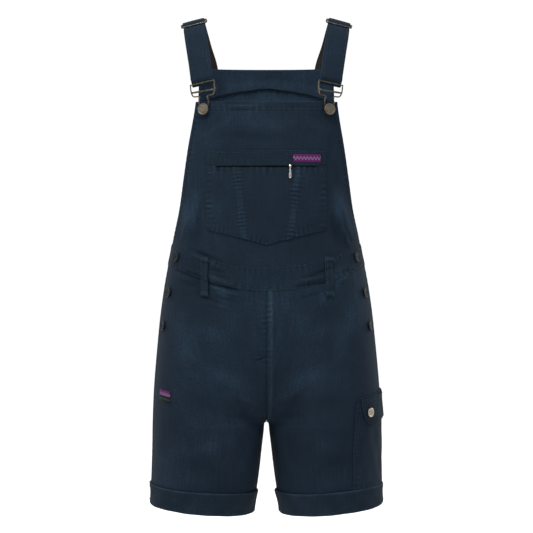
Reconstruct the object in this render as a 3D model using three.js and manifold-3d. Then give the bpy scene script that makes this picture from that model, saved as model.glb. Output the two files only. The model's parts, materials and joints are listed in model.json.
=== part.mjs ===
// Shortalls: bib-and-brace shorts of navy cotton twill, filled out and hollow as when worn.
// Millimetres. +X is the wearer's left, -Y the front, +Z up.
// The origin lies midway between the undersides of the two straps where the shoulders carry them.
import * as THREE from "three";
import { mergeVertices } from "three/addons/utils/BufferGeometryUtils.js";
import Module from "manifold-3d";

const wasm = await Module();
wasm.setup();

// Cloth and seams
const CLOTH = 1.6;
const DOUBLE_CLOTH = 2.2;
const SEAM_GAP = 0.3;
const HALF_GAP = SEAM_GAP / 2;

// Levels are heights of the side seam, from which each row of cloth takes its front dip or hem tilt
const YOKE_TOP = -74;
const BIB_TOP = -146;
const WAISTBAND_TOP = -384;
const WAISTBAND_BOTTOM = -415;
const CROTCH = -681;
const CUFF_TOP = -783.5;
const HEM = -817;
const RISE_BLEND = 105;
const THIGH_BLEND = 220;

// Bib pocket, in front view
const POCKET_HALF = 97;
const POCKET_TOP = -256.5;
const POCKET_CORNER = -358;
const POCKET_POINT = -383;
const BAND_TOP = -230;
const BAND_BOTTOM = -251.4;
const ZIP_HALF = 86;
const CHAIN_LIFT = 1.6;
const LABEL_MIDDLE = 65.5;
const LABEL_HALF = 22;
const LABEL_TOP = -235.5;
const LABEL_BOTTOM = -247.5;

// Zip slider and pull tab
const SLIDER_X = 38.5;
const SLIDER_HALF = 4.5;
const SLIDER_HEIGHT = 4.4;
const SLIDER_BODY = 1.4;
const LUG_THICK = 1;
const LUG_GAP = 4.4;
const PIN_RADIUS = 0.7;
const PIN_LIFT = 5.6;
const EYE_RADIUS = 1.8;
const EYE_BORE = 1.05;
const EYE_WIDTH = 3.8;
const TAB_LENGTH = 20.5;
const TAB_HALF = 2.7;
const TAB_NECK = 1.5;
const TAB_THICK = 1.2;

// Belt loops
const LOOP_X = 101.5;
const LOOP_HALF = 5.8;
const LOOP_TOP = -403;
const LOOP_BOTTOM = -466;
const BACK_LOOP_X = 84;
const BACK_LOOP_RISE = 14;

// Cargo pocket, flap and side label; turns are degrees about the leg, from the side seam to the front
const CARGO_FRONT_TURNS = [60, 66];
const CARGO_BACK_TURN = -32;
const CARGO_TOP = -624;
const CARGO_SLOPE = 0.2;
const CARGO_DEPTH = 1.6;
const CARGO_PUFF = 0.8;
const FLAP_FRONT_TURNS = [55.5, 51];
const FLAP_BACK_TURN = -28;
const FLAP_START = 3.5;
const FLAP_STAND = 0.6;
const FLAP_DROP = 42;
const FLAP_CORNER = 11;
const FLAP_BUTTON_TURN = 45;
const FLAP_BUTTON_LEVEL = -658;
const LABEL_TURNS = [33, 52];
const SIDE_LABEL_TOP = -621.4;
const SIDE_LABEL_MIDDLE = -630.2;
const SIDE_LABEL_BOTTOM = -641;
const SIDE_LABEL_SLOPE = 0.16;

// Buttons
const BIB_BUTTON = { x: 101.5, z: -160.5, radius: 9.6, head: 2.4, shank: 3.4, stand: 5 };
const SIDE_BUTTON = { radius: 8.5, head: 2.2, shank: 3, stand: 1.2 };
const SIDE_BUTTON_PLACES = [
  { level: -396.5, turn: 25 },
  { level: -457.5, turn: 21 },
  { level: -516, turn: 17.7 },
];
const FLAP_BUTTON = { radius: 7.6, head: 2.2, shank: 3, stand: 1.2 };

// Straps, sliders and buckles
const STRAP_HALF = 18.5;
const STRAP_THICK = 1.7;
const WIRE = 1.15;
const BAR = 1.6;
const CLIP_LIFT = 2.7;
const REAR_STRAP_LIFT = 2;
const BUCKLE_RISE = 44;

// Section rows down the trunk, with named columns. half: width from the centre to the side seam. front and back:
// depth from the side seam. round: 2 is an ellipse, more is squarer. dip: how far the row sags at centre front.
// bib and rear: half widths of the bib and of the back panel at that level.
const TRUNK_COLUMNS = ["level", "half", "front", "back", "round", "dip", "bib", "rear"];
const TRUNK_ROWS = [
  [-71, 156, 96, 80, 2.6, 0, 112, 116],
  [-146, 157, 102, 88, 2.6, 3, 116.5, 119],
  [-219, 157, 107, 90, 2.6, 7, 128.5, 125],
  [-271, 156.5, 110, 90, 2.5, 13, 136.5, 132],
  [-324, 157, 111, 90, 2.4, 24, 145, 141],
  [-384, 159.5, 112, 92, 2.3, 37, 159.5, 159.5],
  [-415, 165, 114, 97, 2.3, 43, 165, 165],
  [-460, 172.3, 117, 106, 2.3, 36, 172.3, 172.3],
  [-527, 181, 118, 115, 2.3, 14, 181, 181],
  [-605, 188, 117, 121, 2.3, 0, 188, 188],
  [-681, 192, 113, 120, 2.3, 0, 192, 192],
];

// Section rows down a leg. tilt: how far each millimetre inward from the side lowers the row.
const LEG_COLUMNS = ["level", "inner", "outer", "front", "back", "round", "tilt"];
const LEG_ROWS = [
  [-461, 2, 173, 115, 108, 2.3, 0],
  [-605, 2, 188, 115.5, 119, 2.2, 0],
  [-681, 4, 192.3, 109, 114, 2.1, 0.01],
  [-717, 9, 193, 103, 107, 2, 0.03],
  [-771, 16.5, 193.7, 97, 101, 2, 0.07],
  [-817, 24, 194, 94, 98, 2, 0.09],
];

// The legs part over this much height below the crotch, and the centre seam joins them above it
const CROTCH_STEP = 3;

// Rows of cloth down a leg panel, closest round the crotch
const LEG_SPANS = [
  { to: -600, rows: 7 },
  { to: CROTCH, rows: 7 },
  { to: CROTCH - CROTCH_STEP, rows: 1 },
  { to: -705, rows: 2 },
  { to: HEM + 1, rows: 4 },
];

// The largest folds of the front: from (x, z) to (x, z), half width, and height, below zero for a trough
const FOLD_COLUMNS = ["x0", "z0", "x1", "z1", "spread", "height"];
const FRONT_FOLDS = [
  [112, -292, 140, -366, 10, 3.6],
  [104, -340, 128, -388, 9, -2.6],
  [-116, -300, -134, -360, 12, 3],
  [-104, -345, -120, -384, 9, -2.2],
  [-92, -425, -66, -478, 11, 3],
  [-126, -420, -100, -468, 9, -2.4],
  [120, -425, 92, -480, 11, 2.8],
  [26, -618, 96, -588, 15, 2],
  [-26, -622, -98, -584, 15, 1.8],
  [36, -652, 116, -640, 14, -1.8],
  [-36, -656, -118, -642, 14, -1.6],
  [150, -470, 120, -560, 16, 2.6],
  [-152, -480, -128, -570, 16, 2.4],
];
const BACK_FOLDS = [
  [24, -606, 110, -572, 16, 2.6],
  [-26, -612, -104, -578, 16, 2.4],
  [32, -652, 128, -640, 14, -2],
  [-34, -658, -122, -646, 14, -1.8],
  [60, -430, 44, -500, 12, 2.4],
  [-70, -428, -52, -510, 12, 2.6],
  [10, -330, 60, -372, 10, 2.4],
  [-16, -322, -72, -368, 10, 2.2],
];

const NAVY = 0x26323e;
const NAVY_DARK = 0x1f2a35;
const WEBBING = 0x231f1e;
const BRONZE = 0x6b6459;
const GUNMETAL = 0x4a4a42;
const NICKEL = 0xc9bdb0;
const SILVER = 0xd8d8d8;
const PURPLE = 0x7a2a72;
const GREEN = 0x10231f;

const QUARTER = Math.PI / 2;
const garment = new THREE.Group();

const toRows = (columns, rows) => rows.map((row) => Object.fromEntries(columns.map((name, i) => [name, row[i]])));
const trunkRows = toRows(TRUNK_COLUMNS, TRUNK_ROWS);
const legRows = toRows(LEG_COLUMNS, LEG_ROWS);
const frontFolds = toRows(FOLD_COLUMNS, FRONT_FOLDS);
const backFolds = toRows(FOLD_COLUMNS, BACK_FOLDS);
const mix = THREE.MathUtils.lerp;
const clamp = THREE.MathUtils.clamp;
const signedPower = (value, power) => Math.sign(value) * Math.abs(value) ** power;

// One section at any level, smooth between the rows of its table
function sectionAt(rows, level) {
  const z = clamp(level, rows.at(-1).level, rows[0].level);
  const i = clamp(rows.findIndex((row) => row.level <= z) - 1, 0, rows.length - 2);
  const [a, b] = [rows[i], rows[i + 1]];
  const [before, after] = [rows[Math.max(i - 1, 0)], rows[Math.min(i + 2, rows.length - 1)]];
  const t = (z - a.level) / (b.level - a.level);
  const section = {};
  for (const name of Object.keys(a)) {
    const slopeA = ((b[name] - before[name]) / (b.level - before.level)) * (b.level - a.level);
    const slopeB = ((after[name] - a[name]) / (after.level - a.level)) * (b.level - a.level);
    section[name] =
      a[name] * (2 * t ** 3 - 3 * t ** 2 + 1) +
      b[name] * (3 * t ** 2 - 2 * t ** 3) +
      slopeA * (t ** 3 - 2 * t ** 2 + t) +
      slopeB * (t ** 3 - t ** 2);
  }
  return section;
}

// The smooth body of one half. angle runs from -90 degrees at centre front or the inseam, by 0 at the side seam,
// to 90 degrees at centre back or the inseam again.
function formPoint(angle, level) {
  const trunk = sectionAt(trunkRows, level);
  const leg = sectionAt(legRows, level);
  const power = 2 / trunk.round;
  const depth = angle < 0 ? trunk.front : trunk.back;
  const trunkX = trunk.half * signedPower(Math.cos(angle), power);
  const trunkY = depth * signedPower(Math.sin(angle), power);
  const middle = (leg.inner + leg.outer) / 2;
  const reach = (leg.outer - leg.inner) / 2;
  const legDepth = angle < 0 ? leg.front : leg.back;
  const legX = middle + reach * signedPower(Math.cos(2 * angle), 2 / leg.round);
  const legY = legDepth * signedPower(Math.sin(2 * angle), 2 / leg.round);
  const riseHeight = clamp((level - CROTCH) / RISE_BLEND, 0, 1);
  const rise = 1 - Math.sqrt(1 - (1 - riseHeight) ** 2);
  const thigh = THREE.MathUtils.smoothstep(-level, -CROTCH - THIGH_BLEND, -CROTCH);
  const share = clamp(mix(thigh, rise, Math.abs(Math.sin(angle)) ** 6), 0, 1);
  const joined = Math.abs(Math.sin(angle)) ** 12 * THREE.MathUtils.smoothstep(level, CROTCH - CROTCH_STEP, CROTCH);
  const x = mix(trunkX, legX, share) - leg.inner * share * joined;
  const dip = angle < 0 ? trunk.dip * (1 - Math.min(1, trunkX / trunk.half) ** 2) : 0;
  const tilt = level < CROTCH ? leg.tilt * (leg.outer - x) : 0;
  return new THREE.Vector3(x, mix(trunkY, legY, share), level - dip - tilt);
}

// Lower edge of the bib pocket, lowest at the middle
function pocketBottom(x) {
  return mix(POCKET_POINT, POCKET_CORNER, Math.min(1, Math.abs(x) / POCKET_HALF) ** 0.9);
}

// Height of the folds at a point of the front or the back. The front has none under the bib pocket.
function foldHeight(folds, x, z) {
  let height = 0;
  const below = pocketBottom(x) - z;
  const clear = THREE.MathUtils.smoothstep(Math.abs(x), POCKET_HALF + 2, POCKET_HALF + 16);
  const open = folds === frontFolds ? Math.max(clear, THREE.MathUtils.smoothstep(below, 4, 18)) : 1;
  for (const fold of folds) {
    const [dx, dz] = [fold.x1 - fold.x0, fold.z1 - fold.z0];
    const along = ((x - fold.x0) * dx + (z - fold.z0) * dz) / (dx * dx + dz * dz);
    const held = clamp(along, 0, 1);
    const away = Math.hypot(x - fold.x0 - held * dx, z - fold.z0 - held * dz);
    const taper = Math.sin(Math.PI * clamp(0.15 + 0.7 * along, 0, 1));
    height += fold.height * Math.exp(-((away / fold.spread) ** 2)) * taper;
  }
  return height * open;
}

// A point of the garment's outer face, moved out by lift. side is 1 for the wearer's left and -1 for the right.
function cloth(angle, level, side, lift) {
  const inside = clamp(angle, -QUARTER + 0.02, QUARTER - 0.02);
  const across = formPoint(inside + 0.01, level).sub(formPoint(inside - 0.01, level));
  const down = formPoint(inside, level - 1).sub(formPoint(inside, level + 1));
  const out = down.cross(across).normalize();
  const point = formPoint(angle, level);
  const fade = THREE.MathUtils.smoothstep(Math.abs(point.y), 5, 40);
  const folds = foldHeight(angle < 0 ? frontFolds : backFolds, side * point.x, point.z) * fade;
  point.addScaledVector(out, folds + lift);
  point.x *= side;
  return point;
}

// Outward direction of the garment at a point
function outward(angle, level, side) {
  return cloth(angle, level, side, 1).sub(cloth(angle, level, side, 0)).normalize();
}

// Angle and level of a front or back view place on the trunk. face is -1 for the front and 1 for the back.
function trunkPlace(x, z, face) {
  let level = z;
  let trunk = sectionAt(trunkRows, level);
  for (let i = 0; i < 12; i++) {
    trunk = sectionAt(trunkRows, level);
    const dip = face < 0 ? trunk.dip * (1 - Math.min(1, Math.abs(x) / trunk.half) ** 2) : 0;
    level = z + dip;
  }
  const angle = face * Math.acos(clamp(Math.abs(x) / trunk.half, 0, 1) ** (trunk.round / 2));
  return { angle, level, side: x < 0 ? -1 : 1 };
}

// A point on the front or back of the trunk, moved out by lift
function onTrunk(x, z, face, lift) {
  const place = trunkPlace(x, z, face);
  return cloth(place.angle, place.level, place.side, lift);
}

// A closed mesh from corners and faces, turned so that its faces point out
function closedMesh(points, faces) {
  let volume = 0;
  for (const [a, b, c] of faces) {
    volume += points[a].dot(new THREE.Vector3().crossVectors(points[b], points[c]));
  }
  const turned = volume < 0 ? faces.map(([a, b, c]) => [a, c, b]) : faces;
  const geometry = new THREE.BufferGeometry();
  geometry.setAttribute("position", new THREE.Float32BufferAttribute(points.flatMap((p) => p.toArray()), 3));
  geometry.setIndex(turned.flat());
  geometry.computeVertexNormals();
  return geometry;
}

// A wall of cloth over a grid. place(u, v, lift) gives its points, with u and v from 0 to 1. The wall lies between
// the two lifts, and wrap joins its first and last columns into a ring.
function wall(place, columns, rows, innerLift, outerLift, wrap = false) {
  const points = [];
  const faces = [];
  const across = wrap ? columns : columns + 1;
  for (const lift of [outerLift, innerLift]) {
    for (let j = 0; j <= rows; j++) {
      for (let i = 0; i < across; i++) points.push(place(i / columns, j / rows, lift));
    }
  }
  const layer = across * (rows + 1);
  const at = (i, j, inner) => (inner ? layer : 0) + j * across + (i % across);
  const quad = (a, b, c, d) => faces.push([a, b, c], [a, c, d]);
  for (let j = 0; j < rows; j++) {
    for (let i = 0; i < columns; i++) {
      quad(at(i, j, 0), at(i, j + 1, 0), at(i + 1, j + 1, 0), at(i + 1, j, 0));
      quad(at(i, j, 1), at(i + 1, j, 1), at(i + 1, j + 1, 1), at(i, j + 1, 1));
    }
  }
  for (let i = 0; i < columns; i++) {
    quad(at(i, 0, 0), at(i + 1, 0, 0), at(i + 1, 0, 1), at(i, 0, 1));
    quad(at(i, rows, 0), at(i, rows, 1), at(i + 1, rows, 1), at(i + 1, rows, 0));
  }
  for (let j = 0; j < rows && !wrap; j++) {
    quad(at(0, j, 0), at(0, j, 1), at(0, j + 1, 1), at(0, j + 1, 0));
    quad(at(columns, j, 0), at(columns, j + 1, 0), at(columns, j + 1, 1), at(columns, j, 1));
  }
  return closedMesh(points, faces);
}

// A bar or ribbon through rings of the same number of corners. closed joins the last ring to the first.
function tube(rings, closed = false) {
  const points = rings.flat();
  const size = rings[0].length;
  const faces = [];
  const spans = closed ? rings.length : rings.length - 1;
  for (let j = 0; j < spans; j++) {
    for (let i = 0; i < size; i++) {
      const [a, b] = [j * size + i, j * size + ((i + 1) % size)];
      const [c, d] = [((j + 1) % rings.length) * size + ((i + 1) % size), ((j + 1) % rings.length) * size + i];
      faces.push([a, b, c], [a, c, d]);
    }
  }
  for (let i = 1; i < size - 1 && !closed; i++) {
    const last = (rings.length - 1) * size;
    faces.push([0, i + 1, i], [last, last + i, last + i + 1]);
  }
  return closedMesh(points, faces);
}

// A round wire along points, with a steady reference direction that is never along it
function wire(route, radius, sides, up, closed = false) {
  const rings = route.map((point, j) => {
    const next = route[closed ? (j + 1) % route.length : Math.min(j + 1, route.length - 1)];
    const before = route[closed ? (j + route.length - 1) % route.length : Math.max(j - 1, 0)];
    const along = next.clone().sub(before).normalize();
    const flat = new THREE.Vector3().crossVectors(along, up).normalize();
    const rise = new THREE.Vector3().crossVectors(flat, along);
    return Array.from({ length: sides }, (_, i) => {
      const turn = (2 * Math.PI * (i + 0.5)) / sides;
      return point.clone().addScaledVector(flat, radius * Math.cos(turn)).addScaledVector(rise, radius * Math.sin(turn));
    });
  });
  return tube(rings, closed);
}

function toSolid(geometry) {
  const bare = geometry.clone();
  bare.deleteAttribute("normal");
  bare.deleteAttribute("uv");
  const merged = mergeVertices(bare, 1e-4);
  return new wasm.Manifold(
    new wasm.Mesh({
      numProp: 3,
      vertProperties: new Float32Array(merged.attributes.position.array),
      triVerts: new Uint32Array(merged.index.array),
    }),
  );
}

function fromSolid(solid) {
  const mesh = solid.getMesh();
  const geometry = new THREE.BufferGeometry();
  geometry.setAttribute("position", new THREE.BufferAttribute(new Float32Array(mesh.vertProperties), 3));
  geometry.setIndex(new THREE.BufferAttribute(new Uint32Array(mesh.triVerts), 1));
  geometry.computeVertexNormals();
  return geometry;
}

const joined = (...geometries) => fromSolid(geometries.map(toSolid).reduce((sum, next) => sum.add(next)));

function addPiece(name, geometry, color, roughness = 0.9, metalness = 0) {
  const piece = new THREE.Mesh(geometry, new THREE.MeshStandardMaterial({ color, roughness, metalness }));
  piece.name = name;
  garment.add(piece);
  return piece;
}

const sideName = (side) => (side > 0 ? "left" : "right");

// Keeps a front or back piece of one half clear of its neighbours at the side seam, inseam and centre seam
function keptInside(point, side, face) {
  const x = Math.max(point.x * side, HALF_GAP) * side;
  const y = face < 0 ? Math.min(point.y, -HALF_GAP) : Math.max(point.y, HALF_GAP);
  return new THREE.Vector3(x, y, point.z);
}

// Front and back leg panels, from the waistband to just above the fold of the cuff
function buildLegs() {
  const levels = [WAISTBAND_BOTTOM - HALF_GAP];
  for (const span of LEG_SPANS) {
    const start = levels.at(-1);
    for (let i = 1; i <= span.rows; i++) levels.push(mix(start, span.to, i / span.rows));
  }
  const rows = levels.length - 1;
  for (const side of [1, -1]) {
    for (const face of [-1, 1]) {
      const place = (u, v, lift) => {
        const level = levels[Math.round(v * rows)];
        return keptInside(cloth(face * QUARTER * u, level, side, lift), side, face);
      };
      const name = `${face < 0 ? "front" : "back"}_leg_${sideName(side)}`;
      addPiece(name, wall(place, 12, rows, -CLOTH, 0), NAVY);
    }
  }
}

// Front and back halves of the waistband
function buildWaistbands() {
  for (const face of [-1, 1]) {
    const place = (u, v, lift) => {
      const turn = 2 * u - 1;
      const side = turn < 0 ? -1 : 1;
      const level = mix(WAISTBAND_TOP - HALF_GAP, WAISTBAND_BOTTOM + HALF_GAP, v);
      const point = cloth(face * QUARTER * (1 - Math.abs(turn)), level, side, lift);
      point.y = face < 0 ? Math.min(point.y, -HALF_GAP) : Math.max(point.y, HALF_GAP);
      return point;
    };
    addPiece(face < 0 ? "front_waistband" : "back_waistband", wall(place, 26, 2, -CLOTH, 0.5), NAVY_DARK);
  }
}

// Angle at which a panel of the trunk ends at the side, from its half width
function edgeAngle(level, column) {
  const trunk = sectionAt(trunkRows, level);
  return Math.acos(clamp(trunk[column] / trunk.half, 0, 1) ** (trunk.round / 2));
}

function buildBib() {
  const place = (u, v, lift) => {
    const turn = 2 * u - 1;
    const level = mix(BIB_TOP, WAISTBAND_TOP + HALF_GAP, v);
    const angle = -mix(edgeAngle(level, "bib"), QUARTER, 1 - Math.abs(turn));
    const point = cloth(angle, level, turn < 0 ? -1 : 1, lift);
    point.y = Math.min(point.y, -HALF_GAP);
    return point;
  };
  addPiece("bib", wall(place, 22, 16, -CLOTH, 0), NAVY);
}

// Two halves of the back, with a centre seam
function buildBack() {
  for (const side of [1, -1]) {
    const place = (u, v, lift) => {
      const level = mix(YOKE_TOP, WAISTBAND_TOP + HALF_GAP, v);
      return keptInside(cloth(mix(edgeAngle(level, "rear"), QUARTER, u), level, side, lift), side, 1);
    };
    addPiece(`back_panel_${sideName(side)}`, wall(place, 10, 16, -CLOTH, 0), NAVY);
  }
}

// Facing inside the top of the back, deeper at its ends than at the centre
function buildFacing() {
  const centreDrop = 33;
  const endDrop = 57;
  const place = (u, v, lift) => {
    const turn = 2 * u - 1;
    const drop = mix(centreDrop, endDrop, Math.abs(turn) ** 1.4);
    const level = YOKE_TOP - 1 - v * drop;
    const angle = mix(edgeAngle(level, "rear") + 0.01, QUARTER, 1 - Math.abs(turn));
    return cloth(angle, level, turn < 0 ? -1 : 1, lift);
  };
  addPiece("back_facing", wall(place, 20, 3, -CLOTH - SEAM_GAP - 1.2, -CLOTH - SEAM_GAP), NAVY_DARK);
}

// Turned-up cuffs round the legs
function buildCuffs() {
  for (const side of [1, -1]) {
    const place = (u, v, lift) => cloth(QUARTER * (1 - 2 * u), mix(CUFF_TOP, HEM, v), side, lift);
    addPiece(`cuff_${sideName(side)}`, wall(place, 24, 2, SEAM_GAP, SEAM_GAP + 2.4, true), NAVY_DARK);
  }
}

// A flat piece laid on the front or back of the trunk, between two edges given in front view
function trunkPatch(left, right, top, bottom, columns, rows, lifts, face = -1) {
  const place = (u, v, lift) => {
    const x = mix(left, right, u);
    return onTrunk(x, mix(top(x), bottom(x), v), face, lift);
  };
  return wall(place, columns, rows, lifts[0], lifts[1]);
}

function buildBibPocket() {
  const level = (z) => () => z;
  const pocketLifts = [SEAM_GAP, SEAM_GAP + CLOTH];
  const bandLifts = [SEAM_GAP, SEAM_GAP + DOUBLE_CLOTH];
  const pocket = trunkPatch(-POCKET_HALF, POCKET_HALF, level(POCKET_TOP), pocketBottom, 18, 8, pocketLifts);
  addPiece("bib_pocket", pocket, NAVY);
  const band = trunkPatch(-POCKET_HALF, POCKET_HALF, level(BAND_TOP), level(BAND_BOTTOM), 18, 2, bandLifts);
  addPiece("bib_pocket_band", band, NAVY_DARK);
  const zipTop = level(BAND_BOTTOM - SEAM_GAP);
  const zipBottom = level(POCKET_TOP + SEAM_GAP);
  const zip = trunkPatch(-ZIP_HALF, ZIP_HALF, zipTop, zipBottom, 16, 1, [SEAM_GAP, CHAIN_LIFT]);
  addPiece("zip_chain", zip, NAVY_DARK, 0.6);
  const labelLifts = [bandLifts[1] + SEAM_GAP, bandLifts[1] + SEAM_GAP + 0.9];
  const [left, right] = [LABEL_MIDDLE - LABEL_HALF, LABEL_MIDDLE + LABEL_HALF];
  const label = trunkPatch(left, right, level(LABEL_TOP), level(LABEL_BOTTOM), 6, 1, labelLifts);
  addPiece("bib_label", label, PURPLE, 0.7);
}

// Axes for hard pieces that sit on the cloth: out of it, level across it, and down along it
function seatOnCloth(angle, level, side, lift) {
  const out = outward(angle, level, side);
  const across = new THREE.Vector3(-out.y, out.x, 0).normalize();
  const down = new THREE.Vector3().crossVectors(out, across).normalize();
  const seat = new THREE.Matrix4().makeBasis(across, down, out);
  return seat.setPosition(cloth(angle, level, side, lift));
}

// Slider on the zip with two lugs and a pin across them, and the pull tab hung on the pin
function buildZip() {
  const place = trunkPlace(SLIDER_X, (BAND_BOTTOM + POCKET_TOP) / 2, -1);
  const seat = cloth(place.angle, place.level, place.side, 0);
  const base = CHAIN_LIFT + 2 * SEAM_GAP;
  const body = new THREE.BoxGeometry(2 * SLIDER_HALF, SLIDER_BODY, SLIDER_HEIGHT);
  body.translate(0, -(base + SLIDER_BODY / 2), 0);
  const lugReach = PIN_LIFT + PIN_RADIUS + 0.5 - base;
  const lugs = [-1, 1].map((end) => {
    const lug = new THREE.BoxGeometry(LUG_THICK, lugReach, 2.6);
    return lug.translate((end * (LUG_GAP + LUG_THICK)) / 2, -(base + lugReach / 2), 0);
  });
  const pin = new THREE.CylinderGeometry(PIN_RADIUS, PIN_RADIUS, LUG_GAP + LUG_THICK, 10);
  pin.rotateZ(QUARTER).translate(0, -PIN_LIFT, 0);
  const slider = addPiece("zip_slider", joined(body, ...lugs, pin), SILVER, 0.3, 1);
  slider.position.copy(seat);

  const ring = new THREE.Shape().absarc(0, 0, EYE_RADIUS, 0, 2 * Math.PI);
  ring.holes.push(new THREE.Path().absarc(0, 0, EYE_BORE, 0, 2 * Math.PI));
  const eye = new THREE.ExtrudeGeometry(ring, { depth: EYE_WIDTH, bevelEnabled: false, curveSegments: 8 });
  eye.translate(0, 0, -EYE_WIDTH / 2).rotateY(QUARTER);
  const drop = new THREE.Shape();
  drop.moveTo(-TAB_NECK, -EYE_BORE - 0.35);
  drop.lineTo(-TAB_HALF, -TAB_LENGTH + TAB_HALF);
  drop.absarc(0, -TAB_LENGTH + TAB_HALF, TAB_HALF, Math.PI, 2 * Math.PI);
  drop.lineTo(TAB_NECK, -EYE_BORE - 0.35);
  const blade = new THREE.ExtrudeGeometry(drop, { depth: TAB_THICK, bevelEnabled: false, curveSegments: 5 });
  blade.translate(0, 0, -TAB_THICK / 2).rotateX(QUARTER);
  const tab = addPiece("zip_pull_tab", joined(eye, blade), SILVER, 0.3, 1);
  tab.position.copy(seat).add(new THREE.Vector3(0, -PIN_LIFT, 0));
}

// Belt loops over the waistband, two in front and two at the back
function buildBeltLoops() {
  for (const side of [1, -1]) {
    for (const face of [-1, 1]) {
      const middle = face < 0 ? LOOP_X : BACK_LOOP_X;
      const rise = face < 0 ? 0 : BACK_LOOP_RISE;
      const [top, bottom] = [LOOP_TOP + rise, LOOP_BOTTOM + rise];
      const place = (u, v, lift) => {
        const bow = 1 + 1.2 * Math.sin(Math.PI * v);
        const x = side * (middle + LOOP_HALF * (2 * u - 1));
        return onTrunk(x, mix(top, bottom, v), face, bow + lift);
      };
      const name = `${face < 0 ? "front" : "back"}_loop_${sideName(side)}`;
      addPiece(name, wall(place, 2, 8, 0, DOUBLE_CLOTH), NAVY_DARK);
    }
  }
}

// Angle on the leg for a turn in degrees from the side seam towards the front
const legAngle = (turn) => -THREE.MathUtils.degToRad(turn) / 2;

// Cargo pocket and its flap on the wearer's left leg
function buildCargoPocket() {
  const topAt = (turn) => CARGO_TOP - CARGO_SLOPE * turn;
  const pocket = (u, v, lift) => {
    const turn = mix(mix(...CARGO_FRONT_TURNS, v), CARGO_BACK_TURN, u);
    const edge = Math.min(u, 1 - u, v * 1.2, (1 - v) * 1.2);
    const puff = CARGO_PUFF * Math.sin(QUARTER * clamp(edge / 0.2, 0, 1));
    return cloth(legAngle(turn), mix(topAt(turn), CUFF_TOP + SEAM_GAP, v), 1, lift > CLOTH ? lift + puff : lift);
  };
  addPiece("cargo_pocket", wall(pocket, 16, 10, 2 * SEAM_GAP, SEAM_GAP + CARGO_DEPTH), NAVY);
  const flap = (u, v, lift) => {
    const turn = mix(mix(...FLAP_FRONT_TURNS, v), FLAP_BACK_TURN, u);
    const corner = FLAP_CORNER * (1 - Math.min(1, Math.min(u, 1 - u) / 0.14)) ** 2;
    return cloth(legAngle(turn), topAt(turn) - FLAP_START - v * (FLAP_DROP - corner), 1, lift);
  };
  const base = SEAM_GAP + CARGO_DEPTH + CARGO_PUFF + FLAP_STAND;
  addPiece("cargo_flap", wall(flap, 20, 4, base, base + DOUBLE_CLOTH), NAVY_DARK);
}

// Two-part woven label on the wearer's right leg
function buildSideLabel() {
  const bandAt = (top, bottom) => (u, v, lift) => {
    const turn = mix(LABEL_TURNS[1], LABEL_TURNS[0], u);
    const slope = SIDE_LABEL_SLOPE * (turn - LABEL_TURNS[0]);
    return cloth(legAngle(turn), mix(top, bottom, v) - slope, -1, lift);
  };
  const upper = bandAt(SIDE_LABEL_TOP, SIDE_LABEL_MIDDLE + HALF_GAP);
  const lower = bandAt(SIDE_LABEL_MIDDLE - HALF_GAP, SIDE_LABEL_BOTTOM);
  addPiece("side_label_upper", wall(upper, 4, 1, SEAM_GAP, SEAM_GAP + 1), PURPLE, 0.7);
  addPiece("side_label_lower", wall(lower, 4, 1, SEAM_GAP, SEAM_GAP + 1), GREEN, 0.7);
}

// A shank button: foot on the cloth, neck, and a rimmed head, turned about its own axis
function buttonGeometry(size, segments) {
  const profile = [
    [0, 0],
    [size.shank, 0],
    [size.shank, size.stand],
    [size.radius - 0.5, size.stand],
    [size.radius, size.stand + size.head - 0.7],
    [size.radius - 1.1, size.stand + size.head],
    [size.radius - 2, size.stand + size.head - 0.6],
    [0, size.stand + size.head - 0.6],
  ];
  const lathe = new THREE.LatheGeometry(profile.map(([r, h]) => new THREE.Vector2(r, h)), segments);
  return fromSolid(toSolid(lathe.rotateX(QUARTER)));
}

function addButton(name, size, angle, level, side, lift, color) {
  const button = addPiece(name, buttonGeometry(size, 12), color, 0.45, 1);
  button.applyMatrix4(seatOnCloth(angle, level, side, lift));
}

function buildButtons() {
  for (const side of [1, -1]) {
    const place = trunkPlace(side * BIB_BUTTON.x, BIB_BUTTON.z, -1);
    addButton(`bib_button_${sideName(side)}`, BIB_BUTTON, place.angle, place.level, side, 0.5, BRONZE);
    SIDE_BUTTON_PLACES.forEach(({ level, turn }, i) => {
      const name = `side_button_${sideName(side)}_${i + 1}`;
      const lift = i === 0 ? 1 : 0.5;
      addButton(name, SIDE_BUTTON, -THREE.MathUtils.degToRad(turn), level, side, lift, GUNMETAL);
    });
  }
  const flapTop = SEAM_GAP + CARGO_DEPTH + CARGO_PUFF + FLAP_STAND + DOUBLE_CLOTH;
  const buttonAngle = legAngle(FLAP_BUTTON_TURN);
  addButton("cargo_button", FLAP_BUTTON, buttonAngle, FLAP_BUTTON_LEVEL, 1, flapTop + SEAM_GAP, NICKEL);
}

// Strap route of one shoulder, from the bib button up over the shoulder and down to the back
function strapRoute(side) {
  const button = onTrunk(side * BIB_BUTTON.x, BIB_BUTTON.z, -1, CLIP_LIFT);
  const points = [
    button,
    new THREE.Vector3(side * 103.4, -92, -138),
    new THREE.Vector3(side * 105.9, -90, -115.7),
    new THREE.Vector3(side * 111.4, -78, -74),
    new THREE.Vector3(side * 117.7, -56, -36),
    new THREE.Vector3(side * 121.8, -26, -10.5),
    new THREE.Vector3(side * 123.8, 2, -4),
    new THREE.Vector3(side * 121, 32, -14),
    new THREE.Vector3(side * 112.5, 58, -44),
    onTrunk(side * 102.5, YOKE_TOP + 2, 1, REAR_STRAP_LIFT),
    onTrunk(side * 99, YOKE_TOP - 28, 1, REAR_STRAP_LIFT),
  ];
  return new THREE.CatmullRomCurve3(points, false, "centripetal");
}

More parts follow.
